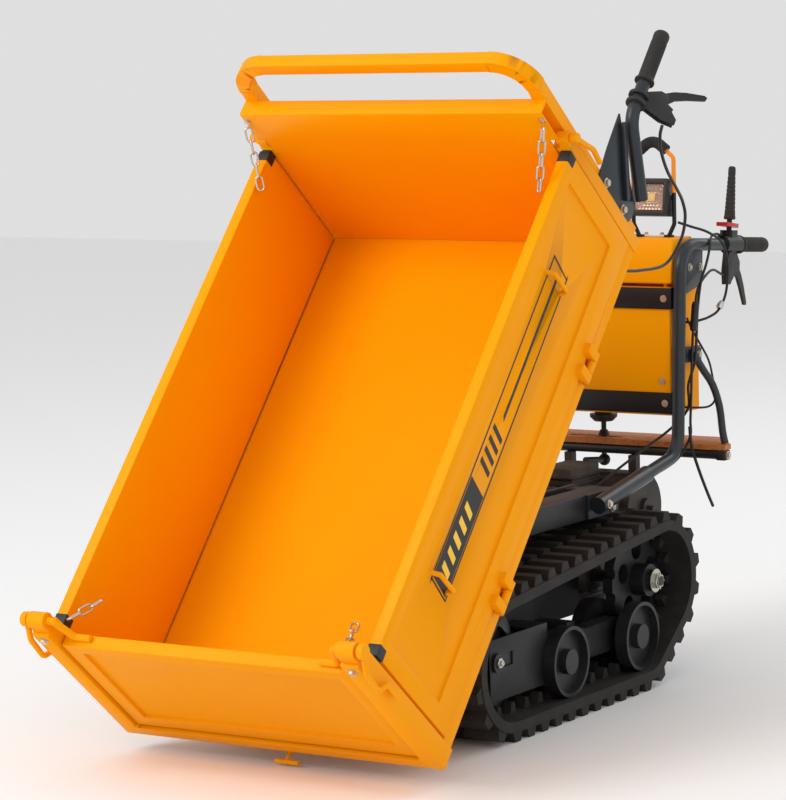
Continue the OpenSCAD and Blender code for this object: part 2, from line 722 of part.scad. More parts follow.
// Collar that slides on the drive lever
module lever_lock() color("#a01c22") at_perch(perch_y)
    translate([0, 0, drive_z + 4]) rotate([-4, 0, 0]) translate([0, 0, 12])
        difference() {
            linear_extrude(9) polygon([[-15, -36], [13, -36], [16, -10], [14, 20], [0, 40], [-12, 22], [-16, 0]]);
            translate([0, 0, -1]) cylinder(r = 6 + fit, h = 20);
        }

module brake_lever_left() color("#1c1b1a") at_perch(perch_y) lever_blade();
module brake_lever_right() mirrored() brake_lever_left();

// ---------- cables, each held at both ends ----------
brake_cable = [[240, 817, 871], [240, 798, 877], [246, 755, 888], [257, 703, 884], [259, 655, 858],
    [258, 640, 820], [257, 630, 765], [257, 622, 700], [257, 616, 620], [256, 612, 560], [250, 620, 520],
    [222, 612, 470], [190, 570, 440], [150, 530, 418], [112, 500, 402], [86, 484, 388], [76, 480, 372.2]];
drive_cable = [[240, 803, 962], [243, 783, 968], [250, 740, 966], [262, 705, 938], [264, 683, 905],
    [263, 660, 870], [261, 646, 810], [261, 638, 750], [260, 630, 690], [252, 612, 640],
    [248, 616, 585], [212, 600, 540], [170, 560, 500], [130, 515, 460], [92, 470, 420], [66, 446, 394],
    [56, 438, 372.2]];
lamp_lead = [[209, 655, 1003], [222, 660, 998], [238, 668, 992], [262, 700, 978], [275, 745, 950],
    [278, 764, 900], [276, 757, 837], [272, 727, 800], [262, 700, 786], [250, 676, 780], [232, 668, 776],
    [221, 664, 776]];
box_lead = [[216, 646, 585], [232, 652, 583], [262, 680, 582], [270, 702, 592], [270, 706, 612],
    [267, 702, 650], [263, 690, 690], [254, 660, 735], [251, 634, 765], [250, 614, 790]];
spare_lead = [[254, 611, 545], [256, 616, 500], [262, 634, 450], [268, 664, 392], [270, 690, 354]];
module control_cables() machine() color("#151515") {
    both_sides() {
        cable(brake_cable, 3, 3);
        cable(drive_cable, 3, 3);
    }
    cable(lamp_lead, 3, 3);
    cable(box_lead, 2.5, 3);
    cable(spare_lead, 3.5, 3);
    // connector and sleeve on the leads
    rod([275, 740, 818], [272, 728, 803], 8);
    rod([258.3, 640, 826], [257, 630, 760], 8);
}

// ---------- work lamp ----------
lamp_x = 148;
lamp_y = 655;
lamp_z = 1058;
lamp_tilt = 8;
module lamp_frame() machine() color("#f08c12")
    translate([lamp_x, lamp_y, 0]) {
        // feet, legs and carrying loop as one bent rod
        rotate([90, 0, 0])
            swept_tube([[-38, hood_top + 3], [-52, hood_top + 30], [-52, lamp_z + 92], [0, lamp_z + 134],
                  [52, lamp_z + 92], [52, hood_top + 30], [38, hood_top + 3]], 16, 5);
        both_sides() block([12, -10, hood_top + 0.2], [50, 10, hood_top + 5.2]);
        rotate([90, 0, 0])
            swept_tube([[-34, lamp_z + 107], [0, lamp_z + 134], [34, lamp_z + 107]], 30, 13);
    }

module at_lamp() machine() translate([lamp_x, lamp_y, lamp_z]) rotate([-lamp_tilt, 0, 0]) children();

module lamp_housing() color("#1c1a18") at_lamp()
    difference() {
        union() {
            block([-44, -26, -42], [44, 14, 42]);
            for (z = [-32 : 8 : 32]) block([-36, 13, z], [36, 26, z + 3]);
            xrod(6, -46.5, 46.5, 0, 0);
        }
        block([-37, -30, -29], [37, -4, 29]);
    }

module lamp_lens() color("#d8d8d0", 0.5) at_lamp()
    block([-37, -22, -29], [37, -19, 29]);

// ---------- fasteners on the chassis ----------
module bolt(r, h) {
    cylinder(r = r * 1.35, h = 1.5);
    translate([0, 0, 1.4]) cylinder(r = r, h = h, $fn = 6);
}

module chassis_bolts() machine() color("silver") {
    // battery box and band screws, facing forward
    for (x = [-208, 208], z = [box_z + 28, box_top - 24])
        translate([x, box_y0 - band_t, z]) rotate([90, 0, 0]) bolt(6, 4);
    for (x = [-200, 200]) translate([x, box_y0, box_z + 78]) rotate([90, 0, 0]) bolt(6, 4);
    both_sides() {
        // socket plates, gussets, brace ends
        translate([handle_x + tube_r + 4.5, 222, 422.6]) rotate([0, 90, 0]) bolt(7, 5);
        translate([belt_x + 7, 302, 403]) rotate([0, 90, 0]) bolt(8, 5);
        for (p = [[640, 903], [692, 900]])
            translate([handle_x + 4, p[0], p[1]]) rotate([0, 90, 0]) bolt(6.5, 4);
        translate([handle_x + 12, 665, 704]) rotate([0, 90, 0]) bolt(7, 4);
        translate([board_w + 2, board_y0 + 10, board_z - board_tube_r]) rotate([0, 90, 0]) bolt(7, 4);
    }
    // lamp feet
    for (s = [-1, 1]) translate([lamp_x + s * 20, lamp_y, hood_top + 5.2]) bolt(4.5, 4);
}

// ---------- skip ----------
module skip_frame() color("#f79a08") in_skip() {
    frame_x = skip_w / 2;
    rail = 40;
    difference() {
        union() {
            // floor frame
            for (s = [-1, 1])
                block([min(s * frame_x, s * (frame_x - rail)), 0, 0], [max(s * frame_x, s * (frame_x - rail)), skip_l, floor_h - sheet_t]);
            for (v = [0, skip_l - rail]) block([-frame_x, v, 0], [frame_x, v + rail, floor_h - sheet_t - (v == 0 ? 6 : 0)]);
            for (v = [300, 640, 980]) block([-frame_x, v, 0], [frame_x, v + 30, floor_h - sheet_t]);
            // floor sheet
            block([-side_in + 1, 34, floor_h - sheet_t - 0.5], [side_in - 1, skip_l - 34, floor_h]);
            both_sides() {
                // runners that rest on the chassis rails
                block([rail_x0 + 10, 120, -40], [rail_x0 + 44, skip_l - 60, 2]);
                // front posts with their hinge sleeves
                block([side_x - post_w, 0, 0], [side_x, post_d, post_h]);
                block([side_x - post_w, gate_pivot[0] - 16, post_h - 10], [side_x, gate_pivot[0] + 16, gate_pivot[1]]);
                xrod(17, side_x - post_w, side_x, gate_pivot[0], gate_pivot[1]);
                // rear posts with their latch sleeves
                block([side_x - post_w - 4, skip_l - 32, 0], [side_x - 2, skip_l, latch_w - 14]);
                block([side_x - 24, skip_l - 30, latch_w - 20], [side_x - 2, skip_l - 2, latch_w]);
                xrod(14, side_x - 26, side_x, skip_l - 16, latch_w);
                // hinge lugs under the floor
                block([web_x - web_t - lug_t - 3, hinge_v - 30, hinge_w], [web_x - web_t - 3, hinge_v + 30, 2]);
                xrod(lug_r, web_x - web_t - lug_t - 3, web_x - web_t - 3, hinge_v, hinge_w);
                // side board hinge lugs
                for (v = [378, 930]) {
                    block([frame_x - 2, v - 14, side_pivot_w - 16], [side_pivot_x, v + 14, side_pivot_w - 4]);
                    translate([side_pivot_x, v + 14, side_pivot_w]) rotate([90, 0, 0]) cylinder(r = 9, h = 28);
                }
            }
            // hinge cross member
            block([-web_x + web_t + 4, hinge_v - 30, -24], [web_x - web_t - 4, hinge_v + 30, 2]);
            both_sides() block([web_x - web_t - 5, hinge_v - 26, -14], [rail_x0 + 12, hinge_v + 26, 2]);
            // boss of the tailgate pin
            translate([0, pin_v, -8]) cylinder(r = 10, h = 10);
            // bracket of the tipping catch
            both_sides() block([18, hinge_v + 395, -36], [24, hinge_v + 435, 2]);
        }
        both_sides() {
            block([frame_x - rail - 1, 44, 4], [frame_x - 4, skip_l - 44, floor_h - sheet_t - 4]);
            xrod(hinge_r + fit, 10, 200, hinge_v, hinge_w);
            xrod(gate_rod_r + fit, side_x - 60, side_x + 10, gate_pivot[0], gate_pivot[1]);
            xrod(7 + fit, side_x - 60, side_x + 10, skip_l - 16, latch_w);
            for (v = [378, 930])
                translate([side_pivot_x, v + 20, side_pivot_w]) rotate([90, 0, 0]) cylinder(r = 4 + fit, h = 40);
        }
        translate([0, pin_v, -20]) cylinder(r = 5 + fit, h = 60);
        xrod(5 + fit, -40, 40, hinge_v + 415, -26);
    }
}

module headboard() color("#f79a08") in_skip() {
    // sheet with its folded top edge, between the rear posts
    v = skip_l - 35;
    block([-side_in + 8, v, floor_h + 0.5], [side_in - 8, v + sheet_t, head_h]);
    block([-side_in - 12, v, latch_w + 16], [side_in + 12, v + sheet_t, head_h]);
    block([-side_in - 12, v, head_h - 4], [side_in + 12, skip_l + 2, head_h]);
    // guard bar behind the posts
    x = side_x - 18 - bar_t / 2;
    translate([0, skip_l + bar_t / 2, 0])
        rotate([90, 0, 0])
            bend_path([[x, 4], [x, bar_h - bar_t / 2], [-x, bar_h - bar_t / 2], [-x, 4]], bar_bend) square(bar_t, center = true);
}

// Side board in the skip's directions, for the left side
module side_board() {
    w0 = floor_h + 1.5;
    difference() {
        union() {
            block([side_in, side_v0, w0], [side_x, side_v1, side_h]);
            for (v = [352, 404, 904, 956])
                translate([0, v, 0]) {
                    translate([side_pivot_x, 11, side_pivot_w]) rotate([90, 0, 0]) cylinder(r = 9, h = 22);
                    block([side_x - 2, -11, side_pivot_w], [side_pivot_x + 9, 11, w0 + 24]);
                }
        }
        // recess outside and folded-sheet hollow inside
        block([side_x - 7, side_v0 + 42, w0 + 62], [side_x + 1, side_v1 - 52, side_h - 34]);
        block([side_in + sheet_t, side_v0 + 8, w0 - 1], [side_x - 10, side_v1 - 8, side_h - 6]);
    }
    for (v = [376, 928])
        translate([side_pivot_x, v + 36, side_pivot_w]) rotate([90, 0, 0]) cylinder(r = 4, h = 72);
    // bent pegs outside
    for (v = [280, 990])
        bent_rod([[side_x - 9, v, 276], [side_x + 13, v, 268], [side_x + 13, v, 208], [side_x - 9, v, 198]], 5);
}

module side_board_left() color("#ffa008") in_skip() side_board();
module side_board_right() mirrored() side_board_left();

module tailgate() color("#ffa008") in_skip() {
    w0 = floor_h - sheet_t + 1;
    v1 = gate_v0 + gate_d;
    difference() {
        block([-gate_x, gate_v0, w0], [gate_x, v1, side_h]);
        block([-gate_x + 36, gate_v0 - 1, w0 + 34], [gate_x - 36, gate_v0 + 8, side_h - 30]);
        block([-gate_x + 20, gate_v0 + 11, w0 + 16], [gate_x - 20, v1 + 1, side_h - 24]);
        translate([0, pin_v, w0 - 1]) cylinder(r = 5 + fit, h = 24);
    }
    // hinge rods welded to the top rail, bent up to the pivot
    rod_w = side_h + gate_rod_r - 3;
    both_sides() {
        translate([0, gate_pivot[0], 0])
            rotate([90, 0, 0])
                swept_tube([[gate_x - 68, rod_w], [gate_x - 30, rod_w], [gate_x - 10, gate_pivot[1]],
                    [gate_x + 2, gate_pivot[1]]], 8, gate_rod_r - 0.6);
        xrod(gate_rod_r, gate_x - 4, side_x + 4, gate_pivot[0], gate_pivot[1]);
    }
}

module gate_pin() color("#f79a08") in_skip() translate([0, pin_v, 0]) {
    translate([0, 0, -34]) cylinder(r = 5, h = 64);
    rod([0, 0, -28], [0, -27, -28], 4);
    rod([-26, -27, -28], [30, -27, -28], 4.8);
}

// Looped handle outside each front post, turning about the tailgate's axis
module gate_handle() in_skip() translate([side_x + 12, gate_pivot[0], gate_pivot[1]]) {
    xrod(15, -7.5, 7, 0, 0);
    across() swept_tube([[0, 0], [-26, -36], [-32, -92], [-4, -111], [-5, -157]], 16, 6);
}
module gate_handle_left() color("#ffa008") gate_handle();
module gate_handle_right() mirrored() gate_handle_left();

module side_latch() in_skip() translate([0, skip_l - 16, latch_w]) {
    xrod(7, side_x - 34, side_x + 10, 0, 0);
    xrod(10, side_x + 3, side_x + 19, 0, 0);
    translate([side_x + 12, 0, 0]) across() swept_tube([[2, -4], [14, -40], [27, -74], [22, -112]], 30, 6);
}
module side_latch_left() color("#ffa008") side_latch();
module side_latch_right() mirrored() side_latch_left();

module corner_blocks() color("#161514") in_skip()
    both_sides()
        for (v = [post_d, side_v1 + 1])
            block([side_in, v, side_h - 24], [side_x - 3, v + 3, side_h - 1]);

module link(l, r) {
    for (s = [-1, 1]) translate([s * (l / 2 - 9), 0, 0])
        rotate(s > 0 ? -90 : 90) rotate_extrude(angle = 180) translate([7, 0]) circle(r, $fn = 16);
    for (s = [-1, 1]) rod([-l / 2 + 9, s * 7, 0], [l / 2 - 9, s * 7, 0], r);
}

// A straight row of links from a to b
module chain(a, b, n) {
    d = b - a;
    for (k = [0 : n - 1])
        translate(a + d * (k + 0.5) / n)
            rotate([0, -asin(d[2] / norm(d)), atan2(d[1], d[0])])
                rotate([k % 2 == 0 ? 30 : 120, 0, 0]) link(norm(d) / n + 8, 2.2);
}

module skip_chains() color("silver") in_skip() {
    head_v = skip_l - 35;
    both_sides() {
        chain([side_in + 4, head_v - 11, 440], [side_in - 16, head_v - 100, 345], 5);
        chain([side_in - 28, 54, post_h - 20], [side_in - 56, 122, 335], 3);
    }
}

// ---------- tipping handle on the skip ----------
plate_x = side_x - 18;
tip_pts = [[skip_l + 72, 46], [skip_l + 178, 190], [skip_l + 400, 190]];
tip_clamp = skip_l + 226;
module at_tip_lever() in_skip() translate([tip_x - 5, tip_clamp, tip_pts[1][1]]) rotate([0, -40, 0]) children();

module tip_handle() color("#232b35") {
    in_skip() {
        translate([plate_x, 0, 0])
            across()
                linear_extrude(5)
                    polygon([[skip_l + 2, 205], [skip_l + 2, 52], [skip_l + 30, 40], [skip_l + 52, 46], [skip_l + 168, 218]]);
        translate([plate_x + 5, 0, 0])
            across()
                linear_extrude(10) polygon([[skip_l + 34, 92], [skip_l + 48, 84], [skip_l + 160, 200], [skip_l + 150, 208]]);
        translate([tip_x - 5, 0, 0]) across() swept_tube(tip_pts, 60, tube_r, 20);
        translate([tip_x - 5, 0, 0])
            across() bend_path([[skip_l + 400 - grip_l, tip_pts[1][1]], [skip_l + 406, tip_pts[1][1]]], 10) circle(grip_r);
    }
    at_tip_lever() {
        difference() {
            lever_bracket();
        }
        for (y = [-8, 6]) translate([0, y, 0]) rotate([90, 0, 0]) cylinder(r = 22.5, h = 5);
    }
}

module tip_lever() color("#1c1b1a") at_tip_lever() lever_blade();

tip_cable_pts = [[424, 1473, 136], [421, 1454, 126], [412, 1442, 90], [398, 1442, 20], [383, 1456, -60],
    [370, 1466, -120], [361, 1456, -166], [350, 1418, -196], [346, 1340, -178], [345, 1262, -94],
    [344, 1215, -32], [338, 1190, -10], [318, 1180, 8], [290, 1176, 15], [220, 1160, 15], [120, 1110, 14],
    [50, 1050, 0], [16, 1016, -22]];
module tip_cable() color("#151515") in_skip() cable(tip_cable_pts, 3.5, 3);

// Catch under the floor that hooks the chassis bar, drawn open
module tip_catch() color("#8a8d90") in_skip()
    translate([0, hinge_v + 415, -26]) {
        xrod(5, -24, 24, 0, 0);
        rotate([30, 0, 0])
            translate([-8, 0, 0])
                across()
                    linear_extrude(16)
                        polygon([[-9, 8], [10, 8], [25, -12], [27, -66], [22, -70], [-1, -70], [-1, -63], [17, -62],
                            [16, -16], [-9, -8]]);
    }

module skip_bolts() color("silver") in_skip() {
    both_sides() {
        // front posts, guard bar, side latches
        translate([side_x - 20, 0, post_h - 18]) rotate([90, 0, 0]) bolt(7, 5);
        translate([side_in + 4, skip_l - 35, 452]) rotate([90, 0, 0]) bolt(6, 4);
    }
    for (w = [84, 176]) translate([plate_x + 5, skip_l + 18, w]) rotate([0, 90, 0]) bolt(8, 6);
}

chassis_frame();
track_beam_left();
track_beam_right();
belt_left();
belt_right();
tensioner_left();
tensioner_right();
idler_left();
idler_right();
sprocket_left();
sprocket_right();
front_roller_left();
front_roller_right();
rear_roller_left();
rear_roller_right();
gearbox();
drive_motor();
motor_controller();
battery_box();
batteries();
box_bands();
control_hood();
key_switch();
stop_button();
gear_lever();
rear_board();
board_frame();
handle_left();
handle_right();
handle_sockets();
handle_grips();
handle_braces();
lever_perches();
drive_lever_left();
drive_lever_right();
lever_lock();
brake_lever_left();
brake_lever_right();
control_cables();
lamp_frame();
lamp_housing();
lamp_lens();
chassis_bolts();
skip_frame();
headboard();
side_board_left();
side_board_right();
tailgate();
gate_pin();
gate_handle_left();
gate_handle_right();
side_latch_left();
side_latch_right();
corner_blocks();
skip_chains();
tip_handle();
tip_lever();
tip_cable();
tip_catch();
skip_bolts();
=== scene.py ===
# %% [markdown]
# # A tracked mini dumper with its skip tipped
# The machine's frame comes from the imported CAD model: every sheet, tube, wheel and joint is already in
# place, in metres, with +Z up and the handlebars towards +Y. This script gives it its looks. It rounds the
# edges of the painted sheets, replaces tubes, grips, sleeves and cables with finer shapes, and makes a
# procedural material for every surface.

# %% Load the frame
import json
import math
import bpy
import bmesh
from mathutils import Matrix, Vector


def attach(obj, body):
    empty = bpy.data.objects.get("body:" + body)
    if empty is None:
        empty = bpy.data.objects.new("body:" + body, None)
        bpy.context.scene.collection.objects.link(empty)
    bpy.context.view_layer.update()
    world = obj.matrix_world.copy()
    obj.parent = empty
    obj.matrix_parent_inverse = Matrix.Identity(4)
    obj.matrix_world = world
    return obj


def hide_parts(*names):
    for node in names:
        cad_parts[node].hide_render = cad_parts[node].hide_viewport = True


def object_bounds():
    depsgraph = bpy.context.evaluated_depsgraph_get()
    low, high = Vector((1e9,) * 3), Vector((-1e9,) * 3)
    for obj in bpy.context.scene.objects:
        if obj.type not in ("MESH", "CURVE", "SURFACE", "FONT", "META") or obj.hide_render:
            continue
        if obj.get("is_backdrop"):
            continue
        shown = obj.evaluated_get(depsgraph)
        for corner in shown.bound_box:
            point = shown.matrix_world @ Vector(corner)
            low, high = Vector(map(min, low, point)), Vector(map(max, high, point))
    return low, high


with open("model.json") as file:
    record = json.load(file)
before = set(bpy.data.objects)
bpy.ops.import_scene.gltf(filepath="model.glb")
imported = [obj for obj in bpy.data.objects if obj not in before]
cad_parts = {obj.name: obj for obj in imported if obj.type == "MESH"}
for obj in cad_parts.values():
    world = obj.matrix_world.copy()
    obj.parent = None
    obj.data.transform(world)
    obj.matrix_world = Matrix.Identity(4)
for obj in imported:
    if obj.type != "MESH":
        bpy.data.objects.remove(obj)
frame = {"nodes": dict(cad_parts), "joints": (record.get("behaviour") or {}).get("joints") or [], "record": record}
cad_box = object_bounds()
bpy.ops.object.select_all(action="DESELECT")
NODES = frame["nodes"]
JOINTS = {j["name"]: j for j in frame["joints"]}
print("CAD nodes:", len(NODES), "joints:", len(JOINTS))

# %% [markdown]
# ## Two sets of directions
# The machine stands square on the ground, so most places are given in millimetres across, back and up from
# the point under the front rollers. The skip is tilted about its hinge, so its own pieces are easier to
# place along its floor (v), across it (u) and out from it (w). Two small functions turn both into metres.

# %% Places on the machine and on the skip
left_roller = Vector(JOINTS["front_roller_left_spin"]["pos_m"])
right_roller = Vector(JOINTS["front_roller_right_spin"]["pos_m"])
CENTRE = Vector(((left_roller.x + right_roller.x) / 2, left_roller.y, 0))
HINGE = Vector(JOINTS["skip_tip"]["pos_m"])
TIP = math.radians(-JOINTS["skip_tip"]["range_deg"][0])
HINGE_V, HINGE_W = 0.554, -0.084


def at(x, y, z):
    """A point on the machine from millimetres across, back and up."""
    return CENTRE + Vector((x, y, z)) / 1000


def skip_at(u, v, w):
    """A point on the tilted skip from millimetres across, along the floor and out from it."""
    dv, dw = v / 1000 - HINGE_V, w / 1000 - HINGE_W
    return Vector((CENTRE.x + u / 1000,
                   HINGE.y + dv * math.cos(TIP) - dw * math.sin(TIP),
                   HINGE.z + dv * math.sin(TIP) + dw * math.cos(TIP)))


SKIP = Matrix.Translation(skip_at(0, 0, 0)) @ Matrix.Rotation(TIP, 4, "X") @ Matrix.Scale(0.001, 4)
print("skip tipped", round(math.degrees(TIP), 1), "degrees about", [round(c, 3) for c in HINGE])

# %% [markdown]
# ## The camera
# A long lens from the machine's front left, a little above its middle, keeps the verticals nearly parallel.
# It is placed by its turn round the machine, its height and a slight roll.

# %% Camera
turn, rise, roll = math.radians(32.63), math.radians(6.66), math.radians(-1.42)
back = Vector((math.sin(turn) * math.cos(rise), -math.cos(turn) * math.cos(rise), math.sin(rise)))
right = Vector((math.cos(turn), math.sin(turn), 0))
up = right.cross(-back)
cam_x = math.cos(roll) * right + math.sin(roll) * up
cam_y = -math.sin(roll) * right + math.cos(roll) * up
bpy.ops.object.camera_add(location=(0, 0, 0))
camera = bpy.context.object
camera.name = "camera"
aim = Matrix((cam_x, cam_y, back)).transposed().to_4x4()
camera.matrix_world = Matrix.Translation(at(3710.1, -6024.7, 1492.2)) @ aim
camera.data.sensor_width = 36
camera.data.lens = 149.8
camera.data.clip_end = 60
bpy.context.scene.camera = camera
camera.select_set(False)
print("camera at", [round(c, 2) for c in camera.location])

# %% [markdown]
# ## Floor and light
# A pale studio floor with one large soft light above the camera's left, a weaker one from the right and a
# bright, even surround. The surround fills the inside of the skip, as white studio walls do.

# %% Floor and lights
bpy.ops.mesh.primitive_plane_add(size=24, location=(0, 0, cad_box[0][2] - 0.0005))
floor = bpy.context.object
floor.name = "studio_floor"
floor_mat = bpy.data.materials.new("studio_floor")
floor_mat.use_nodes = True
floor_mat.node_tree.nodes["Principled BSDF"].inputs["Base Color"].default_value = (0.92, 0.92, 0.92, 1)
floor_mat.node_tree.nodes["Principled BSDF"].inputs["Roughness"].default_value = 0.7
floor.data.materials.append(floor_mat)
floor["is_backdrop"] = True
for name, spot, aim, size, watts in (("key", (-2.6, -4.6, 4.6), (0, -0.2, 0.7), 3.2, 190),
                                     ("side", (5.0, -1.6, 2.6), (0, 0.3, 0.6), 2.4, 18),
                                     ("rim", (1.5, 5.0, 4.0), (0, 0, 0.7), 2.5, 50)):
    bpy.ops.object.light_add(type="AREA", location=spot)
    lamp = bpy.context.object
    lamp.name = "light_" + name
    lamp.data.size = size
    lamp.data.energy = watts
    lamp.rotation_euler = (Vector(aim) - Vector(spot)).to_track_quat("-Z", "Y").to_euler()
world = bpy.data.worlds.new("studio")
world.use_nodes = True
world.node_tree.nodes["Background"].inputs[0].default_value = (1, 1, 1, 1)
world.node_tree.nodes["Background"].inputs[1].default_value = 0.74
bpy.context.scene.world = world
bpy.context.scene.view_settings.view_transform = "Standard"
bpy.ops.object.select_all(action="DESELECT")

# %% [markdown]
# ## Shared surface effects
# Real surfaces vary: paint has a fine ripple, rubber collects dust, metal has streaks. One node group
# holds the patches, the dust and the ripple, so each material only chooses its own colours and amounts. It reads
# the object's own coordinates, which are in metres here, so a scale of 400 means grains of about 2.5 mm.

# %% Node group helpers


def new_group(name, inputs, outputs):
    tree = bpy.data.node_groups.new(name, "ShaderNodeTree")
    for label, kind, value in inputs:
        sock = tree.interface.new_socket(label, in_out="INPUT", socket_type=kind)
        sock.default_value = value
    for label, kind in outputs:
        tree.interface.new_socket(label, in_out="OUTPUT", socket_type=kind)
    return tree, tree.nodes.new("NodeGroupInput"), tree.nodes.new("NodeGroupOutput")


def node(tree, kind, **values):
    made = tree.nodes.new(kind)
    for key, value in values.items():
        if hasattr(made, key) and key not in made.inputs:
            setattr(made, key, value)
        else:
            made.inputs[key.replace("_", " ")].default_value = value
    return made


def noise(tree, coords, scale, detail=4.0, rough=0.55, stretch=None):
    made = node(tree, "ShaderNodeTexNoise", Scale=scale, Detail=detail, Roughness=rough)
    if stretch:
        mapping = node(tree, "ShaderNodeMapping", Scale=stretch)
        tree.links.new(coords, mapping.inputs["Vector"])
        coords = mapping.outputs["Vector"]
    tree.links.new(coords, made.inputs["Vector"])
    return made.outputs["Fac"]


def ramp(tree, source, low, high):
    made = tree.nodes.new("ShaderNodeMapRange")
    made.clamp = True
    made.interpolation_type = "SMOOTHSTEP"
    made.inputs["From Min"].default_value = low
    made.inputs["From Max"].default_value = high
    tree.links.new(source, made.inputs["Value"])
    return made.outputs["Result"]


def maths(tree, operation, a, b):
    made = tree.nodes.new("ShaderNodeMath")
    made.operation = operation
    for k, value in enumerate((a, b)):
        if isinstance(value, (int, float)):
            made.inputs[k].default_value = value
        else:
            tree.links.new(value, made.inputs[k])
    return made.outputs[0]


def mix_colour(tree, fac, a, b):
    made = tree.nodes.new("ShaderNodeMix")
    made.data_type = "RGBA"
    if isinstance(fac, float):
        made.inputs[0].default_value = fac
    else:
        tree.links.new(fac, made.inputs[0])
    for k, value in ((6, a), (7, b)):
        if isinstance(value, tuple):
            made.inputs[k].default_value = value
        else:
            tree.links.new(value, made.inputs[k])
    return made.outputs[2]


# %% [markdown]
# ## Paint, grain and dust as one group
# Soft patches shift the colour and the roughness, dust gathers where a coarse and a fine noise agree, and a
# fine grain makes the bumps. Multiplying two noises for the dust keeps it in broken spots instead of an
# even film, which is how it lies on a machine that has been moved.

# %% The worn surface group
surface, g_in, g_out = new_group(
    "worn surface",
    [("Colour", "NodeSocketColor", (0.5, 0.5, 0.5, 1)),
     ("Second colour", "NodeSocketColor", (0.4, 0.4, 0.4, 1)),
     ("Dust colour", "NodeSocketColor", (0.3, 0.24, 0.18, 1)),
     ("Patch scale", "NodeSocketFloat", 6.0),
     ("Patch amount", "NodeSocketFloat", 0.3),
     ("Dust amount", "NodeSocketFloat", 0.0),
     ("Grain scale", "NodeSocketFloat", 500.0),
     ("Grain height", "NodeSocketFloat", 0.1),
     ("Roughness", "NodeSocketFloat", 0.4),
     ("Roughness change", "NodeSocketFloat", 0.15)],
    [("Colour", "NodeSocketColor"), ("Roughness", "NodeSocketFloat"), ("Normal", "NodeSocketVector")])
coords = surface.nodes.new("ShaderNodeTexCoord").outputs["Object"]
patch = node(surface, "ShaderNodeTexNoise", Detail=6.0, Roughness=0.6)
surface.links.new(coords, patch.inputs["Vector"])
surface.links.new(g_in.outputs["Patch scale"], patch.inputs["Scale"])
patch_ramp = ramp(surface, patch.outputs["Fac"], 0.35, 0.7)
patch_mask = maths(surface, "MULTIPLY", patch_ramp, g_in.outputs["Patch amount"])
dust_noise = noise(surface, coords, 11.0, 8.0, 0.7)
fine_dust = noise(surface, coords, 240.0, 3.0, 0.6)
broken_dust = maths(surface, "MULTIPLY", ramp(surface, dust_noise, 0.42, 0.72),
                    ramp(surface, fine_dust, 0.3, 0.7))
dust_mask = maths(surface, "MULTIPLY", broken_dust, g_in.outputs["Dust amount"])
colour = mix_colour(surface, patch_mask, g_in.outputs["Colour"], g_in.outputs["Second colour"])
colour = mix_colour(surface, dust_mask, colour, g_in.outputs["Dust colour"])
patch_about_zero = maths(surface, "SUBTRACT", patch.outputs["Fac"], 0.5)
rough_shift = maths(surface, "MULTIPLY", patch_about_zero, g_in.outputs["Roughness change"])
clean_roughness = maths(surface, "ADD", g_in.outputs["Roughness"], rough_shift)
roughness = maths(surface, "ADD", clean_roughness, maths(surface, "MULTIPLY", dust_mask, 0.35))
grain = node(surface, "ShaderNodeTexNoise", Detail=2.0, Roughness=0.5)
surface.links.new(coords, grain.inputs["Vector"])
surface.links.new(g_in.outputs["Grain scale"], grain.inputs["Scale"])
bump = node(surface, "ShaderNodeBump", Distance=0.001)
surface.links.new(g_in.outputs["Grain height"], bump.inputs["Strength"])
surface.links.new(grain.outputs["Fac"], bump.inputs["Height"])
for label, source in (("Colour", colour), ("Roughness", roughness), ("Normal", bump.outputs["Normal"])):
    surface.links.new(source, g_out.inputs[label])
print("group", surface.name, "with", len(surface.nodes), "nodes")

# %% [markdown]
# ## Materials
# One function builds a material from the group and a Principled shader. The orange tube paint and the red plastic
# get a clear coat, metal its metallic value, and rubber and the other plastics stay dull. Each call below is one
# finish on the real machine.

# %% Material builder


def finish(name, colour, second, patch=(6.0, 0.3), dust=0.0, dust_colour=(0.28, 0.22, 0.16),
           grain=(500.0, 0.08), rough=0.4, change=0.15, metallic=0.0, coat=0.0, gloss=0.4):
    """A material from two colours, a (scale, amount) of patches and a (scale, height) of grain."""
    mat = bpy.data.materials.new(name)
    mat.use_nodes = True
    tree = mat.node_tree
    shader = tree.nodes["Principled BSDF"]
    made = tree.nodes.new("ShaderNodeGroup")
    made.node_tree = surface
    for label, value in (("Colour", (*colour, 1)), ("Second colour", (*second, 1)),
                         ("Dust colour", (*dust_colour, 1)), ("Patch scale", patch[0]),
                         ("Patch amount", patch[1]), ("Dust amount", dust), ("Grain scale", grain[0]),
                         ("Grain height", grain[1]), ("Roughness", rough), ("Roughness change", change)):
        made.inputs[label].default_value = value
    tree.links.new(made.outputs["Colour"], shader.inputs["Base Color"])
    tree.links.new(made.outputs["Roughness"], shader.inputs["Roughness"])
    tree.links.new(made.outputs["Normal"], shader.inputs["Normal"])
    shader.inputs["Metallic"].default_value = metallic
    shader.inputs["Coat Weight"].default_value = coat
    shader.inputs["Coat Roughness"].default_value = 0.18
    shader.inputs["Specular IOR Level"].default_value = gloss
    return mat
